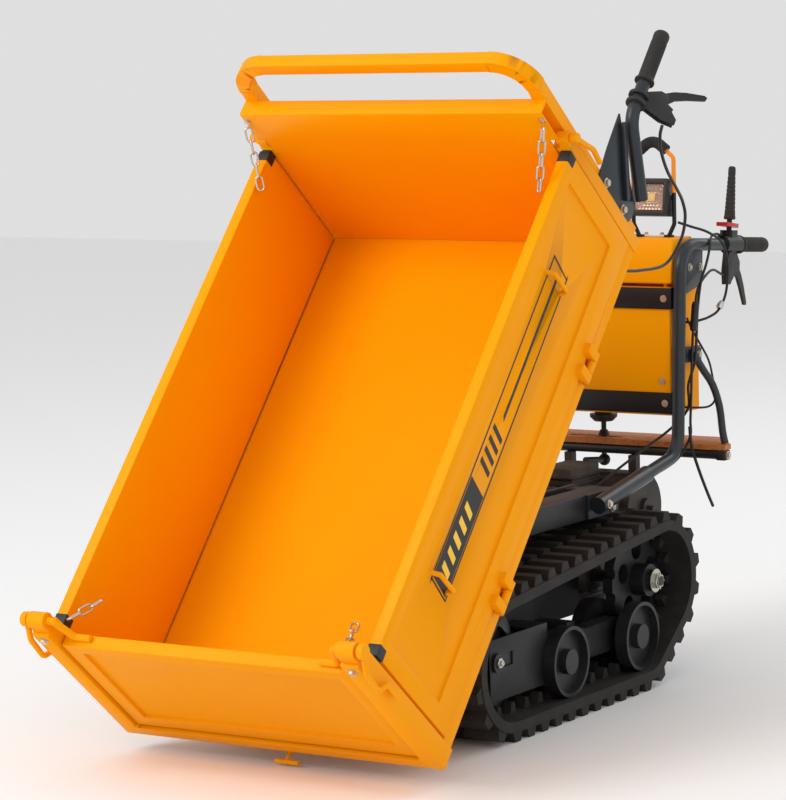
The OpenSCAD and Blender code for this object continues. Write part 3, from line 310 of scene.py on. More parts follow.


# %% [markdown]
# ## Paints
# The skip's powder coat is matt, so its gloss is low: a strong reflection of the white surround would wash
# the orange out. The bed is a little rougher, because loads have rubbed it, and a little yellower, which is
# painted light that makes it look more brightly lit.

# %% Paints
M = {}
M["orange"] = finish("orange_powder_coat", (0.98, 0.37, 0.0), (0.95, 0.33, 0.0), (3.0, 0.45),
                     dust=0.05, dust_colour=(0.7, 0.3, 0.03), grain=(900.0, 0.06),
                     rough=0.42, change=0.18, gloss=0.08)
# The bed's yellower orange is painted light: a lighter copy of the orange that makes the skip's floor look
# brightly lit.
M["bed"] = finish("orange_bed_paint_painted_light", (1.0, 0.42, 0.0), (0.97, 0.37, 0.0), (2.2, 0.5),
                  dust=0.06, dust_colour=(0.8, 0.4, 0.04), grain=(700.0, 0.08),
                  rough=0.5, change=0.2, gloss=0.1)
M["orange_trim"] = finish("orange_tube_paint", (0.95, 0.30, 0.0), (0.85, 0.24, 0.0), (8.0, 0.4),
                          dust=0.08, grain=(800.0, 0.08), rough=0.36, coat=0.3)
M["dark"] = finish("dark_grey_paint", (0.014, 0.021, 0.027), (0.022, 0.03, 0.037), (9.0, 0.5),
                   dust=0.05, grain=(700.0, 0.1), rough=0.36, gloss=0.45)
M["black"] = finish("black_steel_paint", (0.014, 0.015, 0.017), (0.03, 0.03, 0.032), (12.0, 0.6),
                    dust=0.12, dust_colour=(0.1, 0.085, 0.07), grain=(420.0, 0.14), rough=0.45, gloss=0.35)
M["band"] = finish("black_band_paint", (0.010, 0.011, 0.013), (0.018, 0.019, 0.021), (10.0, 0.5),
                   dust=0.04, dust_colour=(0.05, 0.045, 0.04), grain=(600.0, 0.1), rough=0.42, gloss=0.35)
M["wheel"] = finish("wheel_paint", (0.012, 0.012, 0.014), (0.028, 0.027, 0.027), (14.0, 0.6),
                    dust=0.2, dust_colour=(0.1, 0.085, 0.07), grain=(350.0, 0.15), rough=0.42)
print("paints:", ", ".join(M))

# %% [markdown]
# ## Rubber, plastic and board
# These stay dull. What tells them apart is the size and depth of the grain: foam is coarse and deep, moulded
# plastic fine and shallow, and the belt carries the most dust.

# %% Rubber, plastic and board
M["belt"] = finish("belt_rubber", (0.020, 0.018, 0.017), (0.040, 0.035, 0.031), (15.0, 0.7),
                   dust=0.35, dust_colour=(0.075, 0.062, 0.05), grain=(300.0, 0.3),
                   rough=0.66, change=0.25, gloss=0.22)
M["plastic"] = finish("black_moulded_plastic", (0.016, 0.016, 0.017), (0.028, 0.028, 0.03), (30.0, 0.4),
                      dust=0.06, grain=(1400.0, 0.25), rough=0.5)
M["grip"] = finish("grip_rubber", (0.022, 0.020, 0.018), (0.034, 0.031, 0.028), (30.0, 0.5),
                   dust=0.1, grain=(1500.0, 0.4), rough=0.75)
M["foam"] = finish("black_foam", (0.014, 0.014, 0.014), (0.03, 0.03, 0.03), (60.0, 0.6),
                   grain=(900.0, 0.9), rough=0.9)
M["cable"] = finish("cable_jacket", (0.01, 0.01, 0.011), (0.02, 0.02, 0.02), (40.0, 0.4),
                    dust=0.05, grain=(1200.0, 0.1), rough=0.42)
M["red"] = finish("red_plastic", (0.50, 0.012, 0.016), (0.40, 0.01, 0.012), (25.0, 0.5),
                  dust=0.04, grain=(900.0, 0.1), rough=0.35, coat=0.3)
M["battery"] = finish("battery_case", (0.03, 0.033, 0.038), (0.05, 0.05, 0.055), (20.0, 0.4),
                      dust=0.1, grain=(800.0, 0.2), rough=0.55)
M["ply"] = finish("board_face", (0.55, 0.20, 0.045), (0.36, 0.12, 0.03), (60.0, 0.9),
                  dust=0.25, dust_colour=(0.25, 0.12, 0.05), grain=(420.0, 0.7), rough=0.62)

# %% [markdown]
# ## Metals and lamp
# Zinc is a bright metal with a cloudy colour. The gearbox is a rough casting with dust in its grain. The
# lamp's glass is nearly clear, so its alpha is low and the reflector shows through.

# %% Metals and lamp
M["cast"] = finish("dusty_casting", (0.10, 0.085, 0.075), (0.05, 0.045, 0.04), (18.0, 0.8),
                   dust=0.5, dust_colour=(0.2, 0.16, 0.12), grain=(260.0, 0.4), rough=0.6, metallic=0.5)
M["motor"] = finish("motor_housing", (0.05, 0.042, 0.038), (0.025, 0.022, 0.02), (16.0, 0.7),
                    dust=0.45, dust_colour=(0.16, 0.12, 0.09), grain=(260.0, 0.3), rough=0.55, metallic=0.3)
M["zinc"] = finish("zinc_plate", (0.62, 0.60, 0.55), (0.50, 0.46, 0.36), (35.0, 0.6),
                   dust=0.1, grain=(900.0, 0.15), rough=0.3, metallic=1.0)
M["yellow_zinc"] = finish("yellow_zinc", (0.66, 0.62, 0.52), (0.58, 0.48, 0.38), (40.0, 0.7),
                          dust=0.12, grain=(900.0, 0.15), rough=0.33, metallic=1.0)
M["copper"] = finish("copper_reflector", (0.55, 0.30, 0.17), (0.30, 0.16, 0.09), (45.0, 0.8),
                     dust=0.1, grain=(300.0, 0.2), rough=0.28, metallic=0.9)
M["led"] = finish("led_phosphor", (1.0, 0.62, 0.03), (0.95, 0.5, 0.02), (120.0, 0.5),
                  grain=(1500.0, 0.2), rough=0.4)
M["glass"] = finish("lamp_glass", (0.9, 0.9, 0.88), (0.85, 0.84, 0.8), (20.0, 0.3),
                    dust=0.03, grain=(60.0, 0.02), rough=0.06)
M["glass"].node_tree.nodes["Principled BSDF"].inputs["Alpha"].default_value = 0.12
print("materials:", ", ".join(M))

# %% [markdown]
# ## Which finish each part gets
# A CAD part that keeps its own shape only needs its material slot filled. The same table later tells the
# rounded copies which finish they take.

# %% Which finish each CAD node gets
PAINT = {
    "orange": ["skip_frame", "headboard", "side_board_left", "side_board_right", "tailgate", "gate_pin",
               "gate_handle_left", "gate_handle_right", "side_latch_left", "side_latch_right", "battery_box",
               "control_hood"],
    "orange_trim": ["lamp_frame"],
    "dark": ["handle_left", "handle_right", "handle_sockets", "handle_braces", "board_frame", "tip_handle"],
    "black": ["chassis_frame", "track_beam_left", "track_beam_right"],
    "band": ["box_bands"],
    "belt": ["belt_left", "belt_right"],
    "wheel": ["idler_left", "idler_right", "sprocket_left", "sprocket_right", "front_roller_left",
              "front_roller_right", "rear_roller_left", "rear_roller_right", "tensioner_left",
              "tensioner_right"],
    "cast": ["gearbox"],
    "motor": ["drive_motor"],
    "plastic": ["motor_controller", "lever_perches", "drive_lever_left", "drive_lever_right",
                "brake_lever_left", "brake_lever_right", "gear_lever", "lamp_housing", "tip_lever",
                "corner_blocks"],
    "grip": ["handle_grips"],
    "cable": ["control_cables", "tip_cable"],
    "zinc": ["skip_chains", "tip_catch", "key_switch"],
    "yellow_zinc": ["skip_bolts", "chassis_bolts"],
    "red": ["lever_lock", "stop_button"],
    "battery": ["batteries"],
    "ply": ["rear_board"],
    "glass": ["lamp_lens"],
}
for key, names in PAINT.items():
    for name in names:
        NODES[name].data.materials.clear()
        NODES[name].data.materials.append(M[key])
print("painted", sum(len(v) for v in PAINT.values()), "nodes of", len(NODES))

# %% [markdown]
# ## Rounded sheet edges
# Folded and welded sheet never has a knife edge. A fine bevel on the long edges catches the light as the
# real folds do. A copy of each CAD node is merged, its long sharp edges are weighted, and the Bevel modifier
# rounds only those, so the bores keep their shape.

# %% Helpers for copies and placing


def alone(obj):
    bpy.ops.object.select_all(action="DESELECT")
    obj.select_set(True)
    bpy.context.view_layer.objects.active = obj


def dress(obj, name, body, key, angle=35):
    """Names a finished piece, gives it its finish and lets it ride."""
    obj.name = name
    obj.data.name = name
    obj.data.materials.clear()
    obj.data.materials.append(M[key])
    alone(obj)
    bpy.ops.object.shade_smooth_by_angle(angle=math.radians(angle))
    bpy.ops.object.select_all(action="DESELECT")
    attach(obj, body)
    return obj


def soften(name, width, key, body, longer=0.012):
    """Replaces a CAD node with a copy whose long sharp edges are rounded."""
    source = NODES[name]
    copy = source.copy()
    copy.data = source.data.copy()
    bpy.context.collection.objects.link(copy)
    for extra in list(copy.modifiers):
        copy.modifiers.remove(extra)
    alone(copy)
    bpy.ops.object.mode_set(mode="EDIT")
    bpy.ops.mesh.select_all(action="SELECT")
    bpy.ops.mesh.remove_doubles(threshold=0.00002)
    bpy.ops.mesh.dissolve_limited(angle_limit=math.radians(0.5))
    bpy.ops.mesh.vert_connect_concave()
    bpy.ops.object.mode_set(mode="OBJECT")
    weights = copy.data.attributes.new("bevel_weight_edge", "FLOAT", "EDGE")
    edit = bmesh.new()
    edit.from_mesh(copy.data)
    edit.edges.ensure_lookup_table()
    sharp = [e.index for e in edit.edges if len(e.link_faces) == 2 and e.calc_length() > longer
             and math.radians(40) < e.calc_face_angle(0) < math.radians(140)]
    edit.free()
    for index in sharp:
        weights.data[index].value = 1.0
    rounding = copy.modifiers.new("rounding", "BEVEL")
    rounding.limit_method = "WEIGHT"
    rounding.width = width
    rounding.segments = 2
    rounding.use_clamp_overlap = False
    rounding.miter_outer = "MITER_ARC"
    bpy.ops.object.modifier_apply(modifier="rounding")
    dress(copy, name + "_rounded", body, key)
    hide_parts(name)
    return copy


# %% Round the painted sheets
BODY_OF = {n: b for b, ns in frame["record"]["behaviour"]["bodies"].items() for n in ns}
ROUNDED = {"skip_frame": 0.0022, "headboard": 0.0025, "side_board_left": 0.0022, "side_board_right": 0.0022,
           "tailgate": 0.0022, "battery_box": 0.003, "control_hood": 0.003, "box_bands": 0.001,
           "track_beam_left": 0.0015, "track_beam_right": 0.0015, "chassis_frame": 0.002, "gearbox": 0.004,
           "rear_board": 0.0015, "motor_controller": 0.002, "lamp_housing": 0.0012, "lever_perches": 0.001}
FINISH_OF = {n: key for key, names in PAINT.items() for n in names}
for name, width in ROUNDED.items():
    key = FINISH_OF[name]
    made = soften(name, width, key, BODY_OF[name])
    print(name, len(made.data.polygons), "faces")

# %% [markdown]
# ## Bent tubes, rods and cables
# A bent tube is a line with rounded corners that carries a round section. Building each one from its corner
# points keeps it easy to change: the corners are rounded by arcs, and a curve with a bevel depth makes the
# skin. Cables use a smooth curve through their clips instead of arcs.

# %% Line helpers


def arc_corners(points, bend):
    """The points of a line whose corners are rounded to one bend radius, in metres."""
    line = [points[0]]
    for a, b, c in zip(points, points[1:], points[2:]):
        d, e = (b - a).normalized(), (c - b).normalized()
        angle = d.angle(e)
        cut = bend * math.tan(angle / 2)
        axis = d.cross(e).normalized()
        start = b - d * cut
        centre = start + axis.cross(d) * bend
        steps = max(2, math.ceil(math.degrees(angle) / 7))
        line += [centre + Matrix.Rotation(angle * k / steps, 3, axis) @ (start - centre)
                 for k in range(steps + 1)]
    return line + [points[-1]]


def through(points, steps=8):
    """A smooth line through every point, as a Catmull-Rom spline."""
    line = []
    for i in range(len(points) - 1):
        a, b, c, d = points[max(i - 1, 0)], points[i], points[i + 1], points[min(i + 2, len(points) - 1)]
        for k in range(steps):
            t = k / steps
            square = 2 * a - 5 * b + 4 * c - d
            cube = 3 * (b - c) + d - a
            line.append(b + 0.5 * t * ((c - a) + t * (square + t * cube)))
    return line + [points[-1]]


def tube(line, radius, sides=6):
    """A round skin along a line of points, closed at both ends."""
    curve = bpy.data.curves.new("tube", "CURVE")
    curve.dimensions = "3D"
    spline = curve.splines.new("POLY")
    spline.points.add(len(line) - 1)
    for point, place in zip(spline.points, line):
        point.co = (*place, 1)
    curve.bevel_depth = radius
    curve.bevel_resolution = sides
    curve.use_fill_caps = True
    obj = bpy.data.objects.new("tube", curve)
    bpy.context.collection.objects.link(obj)
    alone(obj)
    bpy.ops.object.convert(target="MESH")
    obj = bpy.context.object
    bpy.ops.object.mode_set(mode="EDIT")
    bpy.ops.mesh.select_all(action="SELECT")
    bpy.ops.mesh.remove_doubles(threshold=0.00001)
    bpy.ops.mesh.normals_make_consistent(inside=False)
    bpy.ops.object.mode_set(mode="OBJECT")
    return obj


def join(objs):
    """Makes several pieces one."""
    alone(objs[0])
    for other in objs:
        other.select_set(True)
    bpy.context.view_layer.objects.active = objs[0]
    bpy.ops.object.join()
    return objs[0]


def turned(profile, start, along, steps=40):
    """Spins a profile of (distance, radius) pairs in millimetres about a line."""
    mesh = bpy.data.meshes.new("turned")
    verts = [(r / 1000, 0, d / 1000) for d, r in profile]
    mesh.from_pydata(verts, [(i, i + 1) for i in range(len(verts) - 1)], [])
    obj = bpy.data.objects.new("turned", mesh)
    bpy.context.collection.objects.link(obj)
    alone(obj)
    bpy.ops.object.mode_set(mode="EDIT")
    bpy.ops.mesh.select_all(action="SELECT")
    bpy.ops.mesh.spin(steps=steps, angle=2 * math.pi, center=(0, 0, 0), axis=(0, 0, 1))
    bpy.ops.mesh.select_all(action="SELECT")
    bpy.ops.mesh.remove_doubles(threshold=0.00002)
    bpy.ops.mesh.normals_make_consistent(inside=False)
    bpy.ops.object.mode_set(mode="OBJECT")
    obj.data.transform(Matrix.Translation(start) @ Vector(along).to_track_quat("Z", "Y").to_matrix().to_4x4())
    return obj


# %% [markdown]
# ## Plates and bevels
# Gussets, brackets and ears are cut from flat plate. Drawing the outline and extruding it once is how the
# workshop makes them too, and a small bevel takes the knife edge off.

# %% Plate helpers
SIDEWAYS = Matrix(((0, 0, 1), (1, 0, 0), (0, 1, 0))).to_4x4()


def plate(outline, place, thick, name):
    """A flat plate from an outline, thickened along the last axis of its place."""
    mesh = bpy.data.meshes.new(name)
    mesh.from_pydata([(*p, 0) for p in outline], [], [list(range(len(outline)))])
    obj = bpy.data.objects.new(name, mesh)
    bpy.context.collection.objects.link(obj)
    alone(obj)
    bpy.ops.object.mode_set(mode="EDIT")
    bpy.ops.mesh.select_all(action="SELECT")
    bpy.ops.mesh.extrude_region_move(TRANSFORM_OT_translate={"value": (0, 0, thick)})
    bpy.ops.mesh.select_all(action="SELECT")
    bpy.ops.mesh.normals_make_consistent(inside=False)
    bpy.ops.object.mode_set(mode="OBJECT")
    obj.data.transform(place)
    return obj


def bevel(obj, width, segments=2, angle=40):
    """Rounds every edge sharper than an angle."""
    alone(obj)
    rounding = obj.modifiers.new("rounding", "BEVEL")
    rounding.width = width
    rounding.segments = segments
    rounding.limit_method = "ANGLE"
    rounding.angle_limit = math.radians(angle)
    bpy.ops.object.modifier_apply(modifier="rounding")
    return obj


def upright(x):
    """Turns a drawing of back and up into the machine, at a place across it."""
    return Matrix.Translation(at(x, 0, 0)) @ SIDEWAYS @ Matrix.Scale(0.001, 4)


# %% [markdown]
# ## Handlebars
# Each handlebar is one tube with three straight stretches. A gusset plate stiffens its upper bend, a bracket
# carries the brace, and thin beads stand for the welds along the gusset.

# %% Handlebars with their gusset plates
SIDES = (("left", 1), ("right", -1))
HANDLE_X = 240
TUBE_R = 0.0145
PLATE_T = 8
HANDLE = [(330, 442), (580, 487), (604, 957), (1019, 927)]
GUSSET = [(600, 842), (616, 842), (690, 858), (704, 872), (708, 944), (640, 944), (600, 900)]
BRACE_BRACKET = [(596, 725), (688, 722), (688, 684), (594, 690)]

for side, s in SIDES:
    across = HANDLE_X * s
    bar = tube(arc_corners([at(across, y, z) for y, z in HANDLE], 0.062), TUBE_R, 10)
    plates = [bevel(plate(outline, upright(across - PLATE_T / 2), PLATE_T, "plate"), 0.0012)
              for outline in (GUSSET, BRACE_BRACKET)]
    beads = [tube([at((HANDLE_X + dx) * s, 604, 840), at((HANDLE_X + dx) * s, 607, 905)], 0.0028, 3)
             for dx in (-PLATE_T / 2, PLATE_T / 2)]
    made = dress(join([bar] + plates + beads), "handlebar_" + side, "chassis", "dark")
    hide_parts("handle_" + side)
    print(made.name, len(made.data.polygons), "faces")

# %% [markdown]
# ## Ribbed grips
# A rubber grip is round all the way, so it is turned from a profile: a flange at its inner end, a row of
# ribs that a loop writes, and a rounded outer end.

# %% Ribbed grips
GRIP_L = 130
RIBS = 16
grip_direction = (at(0, 1019, 927) - at(0, 726, 949)).normalized()


def grip_profile(length):
    """The outline of a grip as (distance, radius) pairs in millimetres."""
    ribs = []
    for k in range(RIBS):
        d = 14 + k * (length - 34) / RIBS
        ribs += [(d, 17.4), (d + 2.4, 17.4), (d + 3.2, 16.3), (d + 4.6, 16.3)]
    flange = [(0, 14.6), (0, 20.5), (1.2, 21.6), (4.5, 21.6), (6, 20.2), (8.5, 17.8), (12, 17.0)]
    end = [(length - 16, 17.2), (length - 9, 17.6), (length - 2.5, 17.2), (length + 1.5, 15.0),
           (length + 2.6, 10.5), (length + 2.8, 0.01)]
    return flange + ribs + end


grips = [turned(grip_profile(GRIP_L), at(HANDLE_X * s, 891, 936.4), grip_direction) for side, s in SIDES]
made = dress(join(grips), "ribbed_grips", "chassis", "grip", angle=50)
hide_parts("handle_grips")
print("grips", len(made.data.polygons), "faces")

# %% [markdown]
# ## Tipping handle
# The skip is tipped by hand with a short handlebar on its left. Its tube rises from a kite-shaped plate on
# the skip's side, and a split plastic clamp near its grip holds the tipping lever between two ears.

# %% Tipping handle with its plates, tube and grip
TIP_U = 379.5
TIP_W = 190
KITE = [(1274, 205), (1274, 52), (1302, 40), (1324, 46), (1440, 218), (1352, 214)]
STRIP = [(1306, 92), (1320, 84), (1432, 200), (1422, 208)]
EAR = [(-12, -13), (26, -13), (44, -40), (44, -60), (22, -64), (-2, -92), (-16, -92), (-20, -60)]
CLAMP = [(0, 14.6), (0, 22.5), (7, 22.5), (7, 14.6)]
SKIP_SIDE = SKIP @ SIDEWAYS
along_skip = (SKIP.to_3x3() @ Vector((0, 1, 0))).normalized()
tip_route = [skip_at(TIP_U, v, w) for v, w in ((1344, 46), (1450, TIP_W), (1672, TIP_W))]
bar = tube(arc_corners(tip_route, 0.06), TUBE_R, 10)
kite = bevel(plate(KITE, SKIP_SIDE @ Matrix.Translation((0, 0, 365)), 5, "kite"), 0.001)
strip = bevel(plate(STRIP, SKIP_SIDE @ Matrix.Translation((0, 0, 370)), 10, "strip"), 0.001)
LEVER = (Matrix.Translation(skip_at(TIP_U, 1498, TIP_W)) @ SKIP.to_3x3().normalized().to_4x4()
         @ Matrix.Rotation(math.radians(-40), 4, "Y") @ Matrix.Scale(0.001, 4))
clamps = [bevel(turned(CLAMP, skip_at(TIP_U, v, TIP_W), along_skip), 0.0008) for v in (1484, 1504)]
ears = [bevel(plate(EAR, LEVER @ SIDEWAYS @ Matrix.Translation((0, 0, side_step)), 4, "ear"), 0.0008)
        for side_step in (-8, 4)]
dress(join(clamps + ears), "tip_lever_clamp", "skip", "plastic")
tip_grip = turned(grip_profile(GRIP_L), skip_at(TIP_U, 1544, TIP_W), along_skip)
dress(tip_grip, "tip_grip", "skip", "grip", angle=50)
made = dress(join([bar, kite, strip]), "tip_bar", "skip", "dark")
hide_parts("tip_handle")
print("tipping handle", len(made.data.polygons), "faces")

# %% [markdown]
# ## Rear board's tubes
# Two black tubes carry the rear board: a straight one in front and one that bends round under its rear edge.
# A small block at each end joins them.

# %% Rear board's tubes
BOARD_TUBE_R = 0.011
BOARD_TUBE_Z = 477
rear_bend = [at(x, y, BOARD_TUBE_Z) for x, y in ((314, 665), (231, 774), (-231, 774), (-314, 665))]
board = [tube([at(-312, 664, BOARD_TUBE_Z), at(312, 664, BOARD_TUBE_Z)], BOARD_TUBE_R, 8),
         tube(arc_corners(rear_bend, 0.034), BOARD_TUBE_R, 8)]
for side, s in SIDES:
    bpy.ops.mesh.primitive_cube_add(size=1, location=at(310 * s, 665, 476.5), scale=(0.024, 0.028, 0.023))
    board.append(bevel(bpy.context.object, 0.003))
made = dress(join(board), "board_tubes", "chassis", "black")
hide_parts("board_frame")
print("board tubes", len(made.data.polygons), "faces")

# %% [markdown]
# ## Lamp stand
# The work lamp stands on two thin black legs. An orange loop over it is the handle, with a foam sleeve where
# a hand takes it. All of them lie in one upright plane, so one function places them.

# %% Lamp stand
LAMP_X, LAMP_Y = 148, 655
WIRE_BEND = 0.016


def lamp_at(x, z):
    """A point in the lamp's upright plane, from millimetres beside its middle and up."""
    return at(LAMP_X + x, LAMP_Y, z)


loop_route = [lamp_at(x, z) for x, z in ((-52, 1070), (-52, 1150), (0, 1192), (52, 1150), (52, 1070))]
loop = tube(arc_corners(loop_route, WIRE_BEND), 0.005, 6)
leg_routes = [[lamp_at(s * x, z) for x, z in ((38, 972), (52, 999), (52, 1071))] for s in (-1, 1)]
legs = [tube(arc_corners(route, WIRE_BEND), 0.0049, 6) for route in leg_routes]
feet = [turned([(0, 0.01), (0, 12), (3.5, 12), (5, 10.5), (5, 0.01)], lamp_at(x, 969.2), (0, 0, 1))
        for x in (-38, 38)]
dress(join(legs + feet), "lamp_legs", "chassis", "band")
made = dress(loop, "lamp_loop", "chassis", "orange_trim")
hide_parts("lamp_frame")
sleeve_route = arc_corners([lamp_at(x, z) for x, z in ((-34, 1165), (0, 1192), (34, 1165))], 0.03)
dress(tube(sleeve_route, 0.0128, 8), "lamp_foam", "chassis", "foam")
print("lamp stand made")

# %% [markdown]
# ## Hooks of the tailgate and the side boards
# The tailgate's locking handles and the side boards' latches are both a bent round bar on a turned hub. They
# hang from a pivot on the skip, so each is drawn as steps from its pivot, along the floor (v) and out (w).

# %% Looped handles and latches
HOOK_R = 0.006
LOOP_STEPS = ((0, 0), (-26, -36), (-32, -92), (-4, -111), (-5, -157))
LATCH_STEPS = ((2, -4), (14, -40), (27, -74), (22, -112))
GATE_HUB = [(0, 0.01), (0, 13.5), (1.5, 15), (13, 15), (14.5, 13.5), (14.5, 0.01)]
LATCH_HUB = [(0, 0.01), (0, 9), (1, 10), (15, 10), (16, 9), (16, 0.01)]


def hook(u, v, w, steps, bend):
    """A bent bar hanging from a pivot on the skip."""
    return tube(arc_corners([skip_at(u, v + dv, w + dw) for dv, dw in steps], bend), HOOK_R, 6)


for side, s in SIDES:
    bar = hook(395 * s, 24, 412, LOOP_STEPS, 0.016)
    hub = turned(GATE_HUB, skip_at(387.5 * s, 24, 412), (s, 0, 0))
    made = dress(join([bar, hub]), "gate_loop_" + side, "gate_handle_" + side, "orange")
    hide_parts("gate_handle_" + side)
    bar = hook(395 * s, 1256, 371, LATCH_STEPS, 0.03)
    hub = turned(LATCH_HUB, skip_at(386 * s, 1256, 371), (s, 0, 0))
    pin = tube([skip_at(349 * s, 1256, 371), skip_at(393 * s, 1256, 371)], 0.00695, 8)
    made = dress(join([bar, hub, pin]), "latch_" + side, "side_latch_" + side, "orange")
    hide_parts("side_latch_" + side)
print("looped handles and latches made")

# %% [markdown]
# ## Control cables
# Most of these sheathed cables are held at both ends, so each has one fixed length and hangs between its
# clips. The spare lead only hangs from the socket of the handlebar, and its far end is bare. The
# routes are short lists of points, a smooth line runs through them, and a thin round skin follows it. The
# same routes are tubes in the CAD model, so nothing moving meets them.

# %% Control cables
BRAKE = [(240, 817, 871), (240, 798, 877), (246, 755, 888), (257, 703, 884), (259, 655, 858), (258, 640, 820),
         (257, 630, 765), (257, 622, 700), (257, 616, 620), (256, 612, 560), (250, 620, 520), (222, 612, 470),
         (190, 570, 440), (150, 530, 418), (112, 500, 402), (86, 484, 388), (76, 480, 372.2)]
DRIVE = [(240, 803, 962), (243, 783, 968), (250, 740, 966), (262, 705, 938), (264, 683, 905), (263, 660, 870),
         (261, 646, 810), (261, 638, 750), (260, 630, 690), (252, 612, 640), (248, 616, 585), (212, 600, 540),
         (170, 560, 500), (130, 515, 460), (92, 470, 420), (66, 446, 394), (56, 438, 372.2)]
LAMP_LEAD = [(209, 655, 1003), (222, 660, 998), (238, 668, 992), (262, 700, 978), (275, 745, 950),
             (278, 764, 900), (276, 757, 837), (272, 727, 800), (262, 700, 786), (250, 676, 780),
             (232, 668, 776), (221, 664, 776)]
BOX_LEAD = [(216, 646, 585), (232, 652, 583), (262, 680, 582), (270, 702, 592), (270, 706, 612),
            (267, 702, 650), (263, 690, 690), (254, 660, 735), (251, 634, 765), (250, 614, 790)]
SPARE_LEAD = [(254, 611, 545), (256, 616, 500), (262, 634, 450), (268, 664, 392), (270, 690, 354)]
TIP_CABLE = [(424, 1473, 136), (421, 1454, 126), (412, 1442, 90), (398, 1442, 20), (383, 1456, -60),
             (370, 1466, -120), (361, 1456, -166), (350, 1418, -196), (346, 1340, -178), (345, 1262, -94),
             (344, 1215, -32), (338, 1190, -10), (318, 1180, 8), (290, 1176, 15), (220, 1160, 15),
             (120, 1110, 14), (50, 1050, 0), (16, 1016, -22)]


def cord(name, places, radius, body, replaced=None):
    """A sheathed cable of its own length, from one end of its route to the other; radius in millimetres."""
    line = through(places)
    made = dress(tube(line, radius / 1000, 4), name, body, "cable", angle=60)
    if replaced:
        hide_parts(replaced)


for side, s in SIDES:
    stands_for = "control_cables" if s > 0 else None
    cord("brake_cable_" + side, [at(x * s, y, z) for x, y, z in BRAKE], 3, "chassis", stands_for)
    cord("drive_cable_" + side, [at(x * s, y, z) for x, y, z in DRIVE], 3, "chassis")
cord("lamp_lead", [at(*p) for p in LAMP_LEAD], 3, "chassis")
cord("box_lead", [at(*p) for p in BOX_LEAD], 2.5, "chassis")
cord("spare_lead", [at(*p) for p in SPARE_LEAD], 3.5, "chassis")
cord("tip_cable_run", [skip_at(*p) for p in TIP_CABLE], 3.5, "skip", "tip_cable")

# %% [markdown]
# ## Sleeves on the cables
# A rubber sleeve covers the brake cable's adjuster, and the lamp's lead has a small metal connector. Both
# are turned and point along their cable.

# %% Sleeves on the cables
ADJUSTER = [(0, 4), (0, 6), (3, 8), (60, 8), (62, 6.5), (66, 6.5), (66, 4)]
CONNECTOR = [(0, 4), (0, 7), (2, 8), (12, 8), (13, 6.5), (18, 6.5), (19, 4)]
dress(turned(ADJUSTER, at(257, 630, 760), (1.3, 10, 66)), "cable_sleeve", "chassis", "cable", angle=50)
dress(turned(CONNECTOR, at(272, 728, 803), (3, 12, 15)), "lead_connector", "chassis", "zinc", angle=50)
print("sleeve and connector made")

# %% [markdown]
# ## Drive levers' sleeves
# A drive lever is a thin steel stalk with a tapering rubber sleeve. The sleeve's rings get a little smaller
# towards its tip, so a loop writes them, and the whole lever leans with the handlebar that carries it.

# %% Lever sleeves
HANDLE_TILT = math.atan2(927 - 957, 1019 - 604)
LEVER_LEAN = math.radians(-4)
RINGS = 9
HUB = [(0, 4.06), (0, 7.6), (16, 7.6), (16, 4.06), (0, 4.06)]
STALK = [(0, 0.01), (0, 6), (34, 6)]
SLEEVE_FOOT = [(30, 0.01), (30, 12.6), (31, 13.4), (36, 13.4), (38, 12.6), (44, 12.3)]
SLEEVE_TIP = [(134, 8.8), (146, 8.5), (150, 7.6), (152, 5.0), (152.4, 0.01)]
rings = []
for k in range(RINGS):
    d = 46 + k * 9.5
    r = 12.2 - k * 0.38
    rings += [(d, r), (d + 5.5, r - 0.2), (d + 6.4, r - 1.0), (d + 8.4, r - 1.1)]

for side, s in SIDES:
    perch = Matrix.Translation(at(HANDLE_X * s, 845, 939.58)) @ Matrix.Rotation(HANDLE_TILT, 4, "X")
    axis = perch.to_3x3() @ Matrix.Rotation(LEVER_LEAN, 3, "X") @ Vector((0, 0, 1))
    base = perch @ Vector((0, 0, 0.028))
    hub = turned(HUB, perch @ Vector((-0.008, 0, 0.024)), (1, 0, 0))
    stalk = turned(STALK, base, axis)
    sleeve = turned(SLEEVE_FOOT + rings + SLEEVE_TIP, base, axis)
    lever = join([hub, stalk, sleeve])
    made = dress(lever, "drive_lever_sleeve_" + side, "drive_lever_" + side, "grip", angle=45)
    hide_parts("drive_lever_" + side)
print("sleeves made")

# %% [markdown]
# ## Work lamp's reflector and light source
# Behind the lamp's glass lies a square dish of small facets. A grid is pushed back towards its rim to make
# the dish, and inset and poke turn every square of it into a shallow facet. The light source is a yellow
# square in its middle.

# %% Work lamp's reflector and light source
LAMP = (Matrix.Translation(at(LAMP_X, LAMP_Y, 1058)) @ Matrix.Rotation(math.radians(-8), 4, "X")
        @ Matrix.Scale(0.001, 4))
DISH_W, DISH_H = 73, 57
bpy.ops.mesh.primitive_grid_add(x_subdivisions=9, y_subdivisions=7, size=1, location=(0, 0, 0))
dish = bpy.context.object
for v in dish.data.vertices:
    x, z = v.co.x * DISH_W, v.co.y * DISH_H
    reach = max(abs(x) / (DISH_W / 2), abs(z) / (DISH_H / 2))
    depth = min(1.0, max(0.0, (reach - 0.3) / 0.7))
    v.co = (x, -6 - 12 * depth, z)
alone(dish)
bpy.ops.object.mode_set(mode="EDIT")
bpy.ops.mesh.select_all(action="SELECT")
bpy.ops.mesh.inset(thickness=0.6, use_individual=True)
bpy.ops.mesh.extrude_region_move(TRANSFORM_OT_translate={"value": (0, 0, 0)})
bpy.ops.mesh.poke(offset=1.2)
bpy.ops.mesh.select_all(action="SELECT")
bpy.ops.mesh.normals_make_consistent(inside=False)
bpy.ops.object.mode_set(mode="OBJECT")
dish.data.transform(LAMP)
